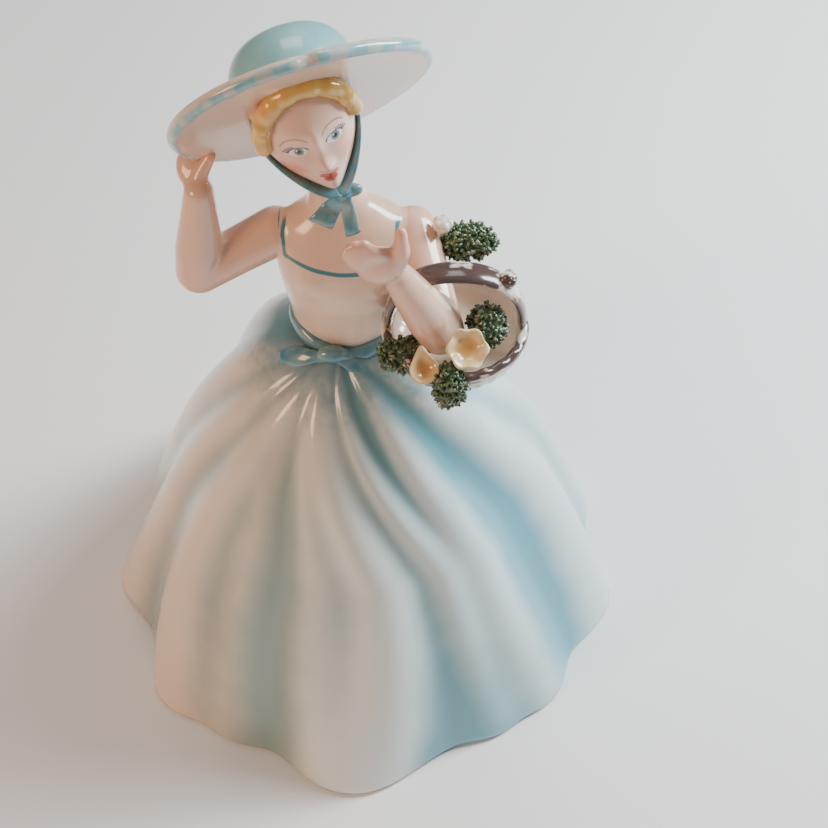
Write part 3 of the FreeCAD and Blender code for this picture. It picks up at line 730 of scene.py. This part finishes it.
def mix_face_glaze():
    """The painted face: blush, eyes with lashes, thin brows and small red lips."""
    glaze = Glaze("face_glaze")
    x, z = glaze.x, glaze.z
    front = glaze.edge(glaze.y, -3.0, -1.0)
    colour = glaze.mixed(glaze.noise(7.0, 1.0) * 0.4, (0.84, 0.52, 0.39), (0.87, 0.62, 0.50))
    for side in (-1, 1):
        out = EYE_OUT * side
        cheek = glaze.edge(glaze.oval(x, z, (5.4 * side, -4.6), (2.9, 2.6)), 0.0, 1.25)
        colour = glaze.mixed(cheek * front * 0.8, colour, (0.78, 0.20, 0.12))
        lid_shade = glaze.edge(glaze.oval(x, z, (out, EYE_UP + 0.7), (2.2, 1.2)), 0.5, 1.1)
        colour = glaze.mixed(lid_shade * front * 0.25, colour, (0.62, 0.42, 0.36))
        eye = glaze.oval(x, z, (out, EYE_UP), (1.75, 0.92))
        white = glaze.edge(eye, 0.86, 1.0)
        colour = glaze.mixed(white * front, colour, (0.84, 0.84, 0.82))
        gaze = out + 0.15
        iris = glaze.edge(glaze.oval(x, z, (gaze, EYE_UP + 0.05), (0.86, 0.86)), 0.85, 1.05)
        colour = glaze.mixed(iris * white * front, colour, (0.16, 0.24, 0.20))
        pupil = glaze.edge(glaze.oval(x, z, (gaze, EYE_UP + 0.05), (0.4, 0.4)), 0.8, 1.1)
        colour = glaze.mixed(pupil * white * front, colour, (0.015, 0.014, 0.012))
        glint = glaze.edge(glaze.oval(x, z, (gaze - 0.3, EYE_UP + 0.38), (0.17, 0.17)), 0.7, 1.1)
        colour = glaze.mixed(glint * front, colour, (0.95, 0.95, 0.95))
        rim_above = glaze.edge(eye - 1.0, 0.0, 0.17) * glaze.edge(0.95 - eye, 0.0, 0.12)
        ink = rim_above * glaze.edge(EYE_UP + 0.12 - z, 0.0, 0.2)
        for lash in range(5):
            lean = 0.20 + 0.26 * lash
            root = (out + side * 1.62 * math.cos(lean), EYE_UP + 0.92 * math.sin(lean))
            reach = 0.85 - 0.08 * lash
            tip = (root[0] + side * reach * math.cos(lean * 0.8),
                   root[1] + reach * math.sin(lean * 0.9 + 0.15))
            ink = ink.most(glaze.edge(glaze.stroke(x, z, root, tip), 0.08, 0.17))
        colour = glaze.mixed(ink * front, colour, (0.03, 0.025, 0.022))
        brow = glaze.oval(x, z, (out + 0.2 * side, EYE_UP + 0.5), (2.6, 2.5))
        arch = glaze.edge(brow - 1.0, 0.0, 0.11) * glaze.edge(1.0 - brow, 0.0, 0.11)
        arch = arch * glaze.edge(EYE_UP + 1.9 - z, 0.0, 0.5)
        colour = glaze.mixed(arch * front * 0.9, colour, (0.36, 0.19, 0.12))
        lip = glaze.edge(glaze.oval(x, z, (0.78 * side, LIPS + 0.5), (1.1, 0.58)), 0.8, 1.1)
        colour = glaze.mixed(lip * front * 0.92, colour, (0.46, 0.045, 0.04))
    lower = glaze.edge(glaze.oval(x, z, (0.0, LIPS - 0.35), (1.35, 0.72)), 0.82, 1.1)
    colour = glaze.mixed(lower * front * 0.92, colour, (0.50, 0.055, 0.045))
    seam = glaze.edge(glaze.stroke(x, z, (-1.3, LIPS + 0.12), (1.3, LIPS + 0.12)), 0.02, 0.10)
    colour = glaze.mixed(seam * front * 0.6, colour, (0.30, 0.03, 0.03))
    return glaze.fired(colour, 0.14, 0.7)


finish_piece("head", make_head_clay(), mix_face_glaze(), place(HEAD_TURN, HEAD))

# %% [markdown]
# ## The hair
# Short curls frame the face under the hat. They are a row of soft lumps, pressed onto a cap
# that stays behind the face.

# %% The hair
CURLS = 19


def sliced(bm, point, outwards):
    """Cuts clay off flat at a point, and closes the cut."""
    bmesh.ops.bisect_plane(bm, geom=bm.verts[:] + bm.edges[:] + bm.faces[:],
                           plane_co=point, plane_no=outwards, clear_outer=True)
    bmesh.ops.holes_fill(bm, edges=[edge for edge in bm.edges if edge.is_boundary])
    return bm


def kept_under_hat(bm):
    """Cuts clay of the head off inside the thickness of the brim."""
    back = HEAD_TURN.inverted()
    up = back @ HAT_TURN @ Vector((0, 0, 1))
    return sliced(bm, back @ (HAT - HEAD) + up * 1.2, up)


def make_hair_clay():
    bm = bmesh.new()
    lump(bm, (0, 1.6, 0.9), (10.0, 10.6, 13.6))
    sliced(bm, (0, -4.6, 3.0), (0, -1, -0.55))
    for curl in range(CURLS):
        share = curl / (CURLS - 1)
        angle = math.radians(2 + 176 * share)
        wave = 0.3 * math.sin(curl * 2.4)
        lump(bm, (8.6 * math.cos(angle), -4.4 - 3.0 * math.sin(angle) + wave,
                  0.4 + 10.0 * math.sin(angle)), (1.9 + 0.2 * wave, 1.9, 2.1))
    return kept_under_hat(joined(bm, 0.4, 9))


def mix_hair_glaze():
    """Ochre brushed over yellow in darker combed strokes."""
    glaze = Glaze("hair_glaze")
    angle = glaze.z.bearing(glaze.x)
    comb = (angle * 17.0 + glaze.noise(4.0, 2.0) * 5.0).sine() * 0.5 + 0.5
    cloud = glaze.noise(4.0, 3.0)
    colour = glaze.mixed(comb * 0.35 + cloud * 0.3, (0.84, 0.52, 0.12), (0.58, 0.26, 0.035))
    return glaze.fired(colour, 0.14, 0.7, comb * 0.5 + cloud * 0.5, 0.25)


finish_piece("hair", make_hair_clay(), mix_hair_glaze(), place(HEAD_TURN, HEAD))

# %% [markdown]
# ## The hat
# A flat disc of clay with a rounded edge is the brim, and a dome is the crown. The edge was
# painted with short strokes of a loaded brush, so the blue is broken and uneven. A small chip
# on the front edge shows the bare clay.

# %% The hat
BRIM_RADIUS = 25.0
BRIM_THICK = 2.5
BRIM_INSIDE = 6.0
BRIM_ROUND = 1.2
CHIP_BEARING = -87.0
CROWN_RADIUS = 12.2
CROWN_RISE = 10.3
CROWN_FOOT = BRIM_THICK - 0.6


def make_brim_clay():
    bm = bmesh.new()
    rounding = [(BRIM_RADIUS - BRIM_ROUND + BRIM_ROUND * math.cos(math.radians(a)),
                 BRIM_THICK / 2 + BRIM_THICK / 2 * math.sin(math.radians(a)))
                for a in range(-90, 91, 15)]
    flat = [(BRIM_INSIDE + 0.9 * step, 0.0) for step in range(20)]
    top = [(BRIM_RADIUS - 1.0 - 1.2 * step, BRIM_THICK) for step in range(1, 15)]
    closing = [(BRIM_INSIDE, BRIM_THICK), (BRIM_INSIDE, 0.0)]
    spun(bm, flat + rounding + top + closing, 192)
    for vertex in bm.verts:
        radius = math.hypot(vertex.co.x, vertex.co.y)
        bearing = math.degrees(math.atan2(vertex.co.y, vertex.co.x))
        share = (radius / BRIM_RADIUS) ** 3
        vertex.co.z += 0.5 * share * math.sin(math.radians(2 * bearing + 40))
        chip = bump(around(bearing, CHIP_BEARING), 3.6)
        shrink = 1 - 0.04 * chip * min(max(radius - BRIM_RADIUS + 4.0, 0.0) / 4.0, 1.0)
        vertex.co.x *= shrink
        vertex.co.y *= shrink
    return tidy(bm)


def make_crown_clay():
    bm = bmesh.new()
    outline = [(0.001, CROWN_FOOT), (CROWN_RADIUS + 0.2, CROWN_FOOT)]
    for step in range(19):
        angle = math.radians(5 * step)
        outline.append((max(CROWN_RADIUS * math.cos(angle) ** 0.6, 0.001),
                        4.0 + CROWN_RISE * math.sin(angle)))
    return spun(bm, outline, 128)


def mix_brim_glaze():
    glaze = Glaze("hat_glaze")
    x, y, z = glaze.x, glaze.y, glaze.z
    radius = (x * x + y * y) ** 0.5
    bearing = y.bearing(x)
    dash = (bearing * 24.0 + glaze.noise(5.0, 2.0) * 9.0).sine()
    ragged = (glaze.noise(1.6, 3.0) - 0.5) * 1.6 + dash * 0.25
    edge = glaze.edge(0.0 - radius + ragged, -23.6, -22.9)
    edge = edge * glaze.edge(z + dash * 0.25, 1.1, 2.0)
    gap = glaze.edge(0.0 - dash - glaze.noise(3.0, 2.0), -0.9, 0.2)
    # Painted shade: the underside and the lower half of the edge are a darker, more orange cream
    # than the top.
    painted_underside_shade = glaze.edge(z, 0.2, 1.4)
    cream = glaze.mixed(painted_underside_shade, (0.82, 0.62, 0.46), (0.80, 0.54, 0.42))
    colour = glaze.mixed(glaze.noise(8.0, 2.0) * 0.5, cream, (0.84, 0.70, 0.58))
    blue = glaze.mixed(glaze.noise(2.0, 3.0), (0.08, 0.36, 0.46), (0.34, 0.58, 0.60))
    colour = glaze.mixed(edge * (0.55 + gap * 0.4), colour, blue)
    chip = glaze.oval(x, y, (BRIM_RADIUS * math.cos(math.radians(CHIP_BEARING)),
                             BRIM_RADIUS * math.sin(math.radians(CHIP_BEARING))), (1.9, 1.4))
    bare = glaze.edge(chip + (glaze.noise(0.9, 3.0) - 0.5) * 0.5, 0.8, 0.95)
    rough_clay = glaze.mixed(glaze.noise(0.7, 4.0), (0.42, 0.30, 0.22), (0.80, 0.72, 0.62))
    colour = glaze.mixed(bare, colour, rough_clay)
    return glaze.fired(colour, 0.17, 0.6)


def mix_crown_glaze():
    glaze = Glaze("crown_glaze")
    cloud = glaze.noise(6.0, 3.0)
    colour = glaze.mixed(cloud, (0.16, 0.42, 0.45), (0.34, 0.58, 0.58))
    low = glaze.edge(glaze.z + (cloud - 0.5) * 2.0, 3.2, 4.4)
    colour = glaze.mixed(low, colour, (0.80, 0.64, 0.48))
    return glaze.fired(colour, 0.16, 0.65)


finish_piece("hat_brim", make_brim_clay(), mix_brim_glaze(), place(HAT_TURN, HAT))
finish_piece("hat_crown", make_crown_clay(), mix_crown_glaze(),
             place(HAT_TURN, HAT))

# %% [markdown]
# ## The ribbons
# A painted clay ribbon comes down from the hat, runs under the jaw and ends in a small bow
# with two tails on the chest. A ribbon is a flat oval, carried along a path.

# %% The ribbons
def make_chin_ribbon_clay(side):
    bm = bmesh.new()
    path = []
    for step in range(21):
        angle = math.radians(24 - 116 * step / 20)
        jaw = max(0.0, -math.sin(angle))
        taper = 1 - 0.24 * jaw ** 1.6
        rim = Vector((side * (HEAD_RADII[0] + 0.3) * math.cos(angle) * taper, -1.0 - 5.6 * jaw ** 2,
                      (HEAD_RADII[2] + 0.2) * math.sin(angle)))
        outwards = Vector((side * math.cos(angle), 0, math.sin(angle)))
        path.append((rim, Vector((0, -1.7, -0.5)), outwards * 0.5))
    return strip(bm, path)


def make_bow_clay():
    """The knot, and a short loop on each side."""
    bm = bmesh.new()
    lump(bm, (0, 0, 0), (1.9, 1.5, 1.7))
    lump(bm, (-1.6, 0.4, -0.3), (2.0, 1.1, 1.5), turned(20, "Y"))
    lump(bm, (1.6, 0.4, 0.2), (2.0, 1.1, 1.4), turned(-14, "Y"))
    return joined(bm, 0.22, 3)


def make_tail_clay(run, wide, end_wide):
    """A tail that widens, dips between two waves and ends in a slanted edge."""
    bm = bmesh.new()
    run = Vector(run)
    sideways = run.cross(Vector((0, -1, 0.35))).normalized()
    outwards = sideways.cross(run).normalized()
    path = []
    for step in range(13):
        share = step / 12
        ripple = outwards * 0.35 * math.sin(share * 9.0)
        half_width = (wide + (end_wide - wide) * share) / 2
        path.append((run * share + ripple, (sideways + run * 0.02) * half_width, outwards * 0.5))
    return strip(bm, path, 24)


def mix_ribbon_glaze():
    """Thin blue over grey, so that the clay shows through."""
    glaze = Glaze("ribbon_glaze")
    cloud = glaze.noise(3.5, 3.0)
    colour = glaze.mixed(glaze.edge(cloud, 0.35, 0.65), (0.07, 0.27, 0.35), (0.20, 0.31, 0.31))
    return glaze.fired(colour, 0.16, 0.7)


ribbon_glaze = mix_ribbon_glaze()
for side, label in ((-1, "right"), (1, "left")):
    finish_piece("chin_ribbon_" + label, make_chin_ribbon_clay(side),
                 ribbon_glaze, place(HEAD_TURN, HEAD))
BOW = middle("bow_knot")
finish_piece("bow_knot", make_bow_clay(), ribbon_glaze, place(None, BOW))
finish_piece("bow_tail_right", make_tail_clay((-4.4, -1.6, -6.4), 2.2, 4.8),
             ribbon_glaze, place(None, BOW))
finish_piece("bow_tail_left", make_tail_clay((1.6, -2.0, -8.6), 2.4, 3.0),
             ribbon_glaze, place(None, BOW))

# %% [markdown]
# ## The sash
# The sash is a low band that dips to a point in front. Its knot gathers the skirt, and its two
# tails are no more than thin slips of clay that lie on the first folds.

# %% The sash
KNOT = middle("sash_knot")


def make_sash_clay():
    """A band round the waist that is lower in front."""
    bm = bmesh.new()
    outline = [(1.0, 0.0), (1.045, 0.35), (1.06, 1.4), (1.06, 2.4), (1.035, 3.4), (0.98, 3.9),
               (0.90, 3.6), (0.90, 0.2), (1.0, 0.0)]
    spun(bm, outline, 120)
    for vertex in bm.verts:
        front = max(0.0, -vertex.co.y) ** 3
        vertex.co.x *= 11.5
        vertex.co.y *= 9.4
        vertex.co.z += 0.9 - 3.4 * front
        vertex.co.y -= 1.2 * front
    return bm


def make_sash_tail_clay(run, wide):
    """A soft strip that lies on the skirt, with a fold along it."""
    bm = bmesh.new()
    run = Vector(run)
    sideways = run.cross(Vector((0, -0.8, 0.9))).normalized()
    outwards = sideways.cross(run).normalized()
    path = []
    for step in range(17):
        share = step / 16
        sag = outwards * (1.2 * math.sin(share * math.pi) - 1.0 * share)
        half_width = wide / 2 * (0.45 + 0.75 * math.sin(share * 2.4) ** 2)
        path.append((run * share + sag, sideways * half_width, outwards * 0.7))
    return strip(bm, path, 24)


def make_sash_knot_clay():
    bm = bmesh.new()
    lump(bm, (0, 0.4, 0), (3.2, 1.9, 2.2))
    lump(bm, (-2.0, 0.6, -0.8), (2.4, 1.4, 1.5), turned(-24, "Y"))
    lump(bm, (2.2, 0.6, -0.4), (2.4, 1.4, 1.5), turned(18, "Y"))
    return joined(bm, 0.3, 4)


def mix_sash_glaze():
    glaze = Glaze("sash_glaze")
    cloud = glaze.noise(4.0, 3.0)
    colour = glaze.mixed(glaze.edge(cloud, 0.3, 0.7), (0.07, 0.22, 0.30), (0.20, 0.34, 0.37))
    return glaze.fired(colour, 0.16, 0.7)


sash_glaze = mix_sash_glaze()
finish_piece("waist_sash", make_sash_clay(), sash_glaze, place(None, WAIST))
finish_piece("sash_knot", make_sash_knot_clay(), sash_glaze, place(None, KNOT))
finish_piece("sash_tail_right", make_sash_tail_clay((-11.5, 2.6, -3.4), 3.6),
             sash_glaze, place(None, KNOT))
finish_piece("sash_tail_left", make_sash_tail_clay((12.0, -1.0, -6.4), 4.2),
             sash_glaze, place(None, KNOT))

# %% [markdown]
# ## The basket
# The bowl is thrown on the wheel, and a roll of clay makes its rim. The handle is a flat
# strip bent over from one side to the other, with a knob where it was pinched down. The
# brown is dry-brushed over cream in long, ragged strokes that run one way.

# %% The basket
BOWL_RADIUS = 14.0
BOWL_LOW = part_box("basket_body")[0][2] / MM - BASKET.z
HANDLE_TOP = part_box("basket_handle")[1][2] / MM - BASKET.z


def make_bowl_clay():
    """A bulging bowl with an even wall, shallow inside, slightly out of round."""
    bm = bmesh.new()
    outside = []
    for step in range(17):
        angle = math.radians(-90 + 90 * step / 16)
        flat = max(math.cos(angle), 0.0)
        outside.append((0.001 + BOWL_RADIUS * flat ** 0.8, BOWL_LOW * -math.sin(angle)))
    inside = [(12.2, 0.0), (12.1, -1.6), (11.4, -3.2), (9.6, -4.4), (6.0, -5.0), (0.001, -5.1)]
    spun(bm, outside + inside, 144)
    for vertex in bm.verts:
        bearing = math.atan2(vertex.co.y, vertex.co.x)
        weave = 0.12 * math.sin(30 * bearing) * bump(vertex.co.z - BOWL_LOW * 0.5, 4.0)
        vertex.co.x *= 1 + weave / BOWL_RADIUS
        vertex.co.y *= 1 + weave / BOWL_RADIUS
    return bm


def make_rim_clay():
    """A rolled rim with the slight twist of a hand-rolled coil."""
    bm = bmesh.new()
    steps = 24
    outline = [(13.4 + 1.1 * math.cos(2 * math.pi * step / steps),
                1.1 * math.sin(2 * math.pi * step / steps)) for step in range(steps + 1)]
    spun(bm, outline, 180)
    for vertex in bm.verts:
        bearing = math.atan2(vertex.co.y, vertex.co.x)
        vertex.co.z += 0.14 * math.sin(22 * bearing + 2.0 * vertex.co.z)
    return bm


def make_handle_clay():
    """A strip that springs from the rim, flat on top and wider there."""
    bm = bmesh.new()
    path = []
    for step in range(41):
        angle = math.radians(4 + 172 * step / 40)
        reach = 13.0 * math.copysign(abs(math.cos(angle)) ** 0.85, math.cos(angle))
        rise = (HANDLE_TOP - 1.0) * math.sin(angle) ** 0.85
        outwards = Vector((math.cos(angle), 0, math.sin(angle)))
        half_width = 2.1 + 0.6 * math.sin(angle) ** 2
        path.append((Vector((reach, 0, rise)), Vector((0, half_width, 0)), outwards * 0.95))
    return strip(bm, path, 24)


def make_knob_clay():
    """A pinched bud of clay that has split at its end."""
    bm = bmesh.new()
    lump(bm, (0, 0, 0), (1.9, 1.6, 1.7))
    for petal in range(4):
        angle = math.pi / 2 * petal + 0.4
        lump(bm, (0.9 * math.cos(angle), 1.1 * math.sin(angle), 0.8), (0.8, 0.8, 1.1))
    return joined(bm, 0.16, 3)


def mix_brushed_glaze(name, stretch, cover):
    """Brown dry-brushed over cream: long ragged strokes in one direction."""
    glaze = Glaze(name)
    along = glaze.node("ShaderNodeMapping", {}, {"Vector": glaze.local, "Scale": stretch})
    ragged = glaze.noise(1.0, 4.0, along)
    patch = glaze.noise(7.0, 2.0)
    brown = glaze.edge(0.0 - (ragged * 0.6 + patch * 0.6), -cover - 0.03, -cover + 0.03)
    cream = glaze.mixed(patch, (0.78, 0.66, 0.56), (0.86, 0.80, 0.72))
    dark = glaze.mixed(ragged, (0.055, 0.030, 0.024), (0.11, 0.07, 0.065))
    return glaze, glaze.mixed(brown, cream, dark)


def mix_basket_glaze():
    glaze, colour = mix_brushed_glaze("basket_glaze", (0.10, 0.10, 0.9), 0.585)
    radius = (glaze.x * glaze.x + glaze.y * glaze.y) ** 0.5
    inside = glaze.edge(radius, 12.4, 12.9)
    cream = glaze.mixed(glaze.noise(5.0, 2.0), (0.80, 0.66, 0.54), (0.88, 0.80, 0.70))
    return glaze.fired(glaze.mixed(inside, colour, cream), 0.16, 0.65)


def mix_handle_glaze():
    glaze, colour = mix_brushed_glaze("handle_glaze", (0.14, 0.55, 0.14), 0.56)
    return glaze.fired(colour, 0.16, 0.65)


basket_glaze = mix_basket_glaze()
handle_glaze = mix_handle_glaze()
at_basket = place(None, BASKET)
finish_piece("basket_body", make_bowl_clay(), basket_glaze, at_basket)
finish_piece("basket_rim", make_rim_clay(), basket_glaze, at_basket)
finish_piece("basket_handle", make_handle_clay(), handle_glaze, at_basket)
finish_piece("handle_knob", make_knob_clay(), handle_glaze,
             place(turned(35, "Y"), middle("handle_knob")))

# %% [markdown]
# ## Moss
# Clay pushed through a fine sieve comes out as strands, like spaghetti. A pinch of them is
# pressed on with a needle, and it fires into curly moss. Each strand here is a short bent
# tube of few faces, because there are hundreds.

# %% Moss
def strand(root, direction, curl, length, radius, sides=6):
    """One short strand that bends as it grows."""
    rings = []
    steps = 4
    spot = Vector(root)
    heading = Vector(direction).normalized()
    for step in range(steps + 1):
        across = heading.orthogonal().normalized()
        up = heading.cross(across)
        thin = radius * (1 - 0.35 * (step / steps) ** 2)
        rings.append(oval(spot, across * thin, up * thin, sides))
        spot = spot + heading * (length / steps)
        heading = (heading + Vector(curl) * 0.45).normalized()
    return rings


def make_moss_clay(seed, radii, count):
    """A core of clay with strands standing all over it."""
    dice = random.Random(seed)
    bm = bmesh.new()
    bmesh.ops.create_icosphere(bm, subdivisions=3, radius=1,
                               matrix=Matrix.Diagonal((*[0.86 * r for r in radii], 1)))
    for _ in range(count):
        up = dice.uniform(-0.75, 1.0)
        angle = dice.uniform(0, 2 * math.pi)
        flat = math.sqrt(1 - up * up)
        normal = Vector((flat * math.cos(angle), flat * math.sin(angle), up))
        root = Vector([0.80 * r * part for r, part in zip(radii, normal)])
        lean = Vector([dice.uniform(-0.8, 0.8) for _ in range(3)])
        curl = Vector([dice.uniform(-1, 1) for _ in range(3)])
        length = dice.uniform(0.9, 1.7)
        piece = bmesh.new()
        loft(piece, strand(root, normal + lean, curl, length, dice.uniform(0.36, 0.52)))
        mesh = bpy.data.meshes.new("strand")
        piece.to_mesh(mesh)
        piece.free()
        bm.from_mesh(mesh)
        bpy.data.meshes.remove(mesh)
    return bm


def mix_moss_glaze():
    """Dark green in cloudy patches, with a few pale flecks."""
    glaze = Glaze("moss_glaze")
    cloud = glaze.noise(0.9, 2.0)
    colour = glaze.mixed(glaze.edge(cloud, 0.38, 0.62), (0.10, 0.16, 0.07), (0.045, 0.09, 0.04))
    pale = glaze.edge(0.0 - glaze.noise(1.3, 3.0), -0.66, -0.60)
    colour = glaze.mixed(pale * 0.7, colour, (0.62, 0.60, 0.42))
    return glaze.fired(colour, 0.22, 0.55)


moss_glaze = mix_moss_glaze()
MOSS = {
    "moss_back": (1, (6.2, 3.6, 3.4), 290),
    "moss_side": (2, (3.6, 3.6, 4.9), 230),
    "moss_front": (3, (5.2, 3.4, 3.4), 240),
    "moss_tail": (4, (3.0, 2.7, 6.2), 210),
}
for name, (seed, radii, count) in MOSS.items():
    finish_piece(name, make_moss_clay(seed, radii, count), moss_glaze,
                 place(None, middle(name)))

# %% [markdown]
# ## Flowers
# Each flower is a thin pinched cup of clay, thrown round and then pushed out of round.

# %% Flowers
def make_cup_clay(radius, depth, lobes, lobe_depth, hollow):
    """A pinched cup with a wavy lip, thrown and then pushed out of round."""
    bm = bmesh.new()
    wall = 0.55
    outside = [(0.001, 0.0), (radius * 0.35, 0.05), (radius * 0.62, depth * 0.25),
               (radius * 0.84, depth * 0.6), (radius * 0.97, depth * 0.9), (radius, depth)]
    lip = [(radius - wall * 0.4, depth + wall * 0.35), (radius - wall, depth)]
    inside = [(radius * 0.74 - wall * 0.5, depth * 0.72), (radius * hollow, depth * 0.4),
              (radius * hollow * 0.5, depth * 0.28), (0.001, depth * 0.25)]
    spun(bm, outside + lip + inside, 72)
    for vertex in bm.verts:
        bearing = math.atan2(vertex.co.y, vertex.co.x)
        share = math.hypot(vertex.co.x, vertex.co.y) / radius
        wave = 1 + lobe_depth * share ** 2 * math.cos(lobes * bearing + 0.6)
        vertex.co.x *= wave
        vertex.co.y *= wave
        vertex.co.z += 0.35 * share ** 3 * math.cos(lobes * bearing + 2.0)
    return bm


def make_bell_clay():
    """A cup pulled out to a point on one side, like a drop."""
    bm = make_cup_clay(2.9, 1.8, 3, 0.03, 0.45)
    for vertex in bm.verts:
        pull = max(0.0, vertex.co.y / 2.9) ** 2
        vertex.co.y *= 1 + 0.55 * pull
        vertex.co.x *= 1 - 0.45 * pull
    return bm


def make_bud_clay():
    bm = bmesh.new()
    lump(bm, (0, 0, 0), (1.7, 1.6, 1.8))
    for petal in range(5):
        angle = 2 * math.pi * petal / 5
        lump(bm, (1.1 * math.cos(angle), 1.1 * math.sin(angle), 0.5), (1.0, 1.0, 1.2))
    return joined(bm, 0.18, 2)


def mix_flower_glaze():
    """Straw yellow that turns orange where it pools in the cup."""
    glaze = Glaze("flower_glaze")
    radius = (glaze.x * glaze.x + glaze.y * glaze.y) ** 0.5
    pooled = glaze.edge(radius + (glaze.noise(1.5, 2.0) - 0.5) * 1.2, 0.6, 3.0)
    colour = glaze.mixed(pooled, (0.84, 0.62, 0.30), (0.72, 0.36, 0.10))
    pale = glaze.edge(0.0 - radius, -3.9, -3.0)
    colour = glaze.mixed(pale * 0.5, colour, (0.86, 0.76, 0.50))
    return glaze.fired(colour, 0.16, 0.6)


def mix_bud_glaze():
    glaze = Glaze("bud_glaze")
    cloud = glaze.noise(1.4, 2.0)
    return glaze.fired(glaze.mixed(cloud, (0.80, 0.72, 0.60), (0.88, 0.84, 0.74)), 0.18, 0.6)


FACING = Vector((0.1, -0.6, 0.8)).to_track_quat("Z", "Y").to_matrix().to_4x4()
flower_glaze = mix_flower_glaze()
finish_piece("flower_rosette", make_cup_clay(3.9, 2.0, 6, 0.07, 0.55),
             flower_glaze, place(FACING, middle("flower_rosette")))
finish_piece("flower_bell", make_bell_clay(), flower_glaze,
             place(FACING, middle("flower_bell")))
finish_piece("flower_bud", make_bud_clay(), mix_bud_glaze(),
             place(None, middle("flower_bud")))

# %% [markdown]
# ## The floor of the foot
# The flat floor is left unglazed, so that the foot doesn't stick to the kiln shelf. It is
# shown as it was designed, with only its bare clay painted here.

# %% Bare clay
def mix_bisque():
    """Fired clay with no glaze: pale, dull and a little gritty."""
    glaze = Glaze("bisque")
    glaze.local = glaze.node("ShaderNodeTexCoord", {}, {}, "Generated")
    grain = glaze.noise(0.02, 4.0)
    colour = glaze.mixed(grain, (0.80, 0.76, 0.68), (0.88, 0.85, 0.78))
    return glaze.fired(colour, 0.65, 0.0, grain, 0.03)


base_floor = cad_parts["base_floor"]
base_floor.data.materials[0] = mix_bisque()
print("the floor shows", base_floor.data.materials[0].name)
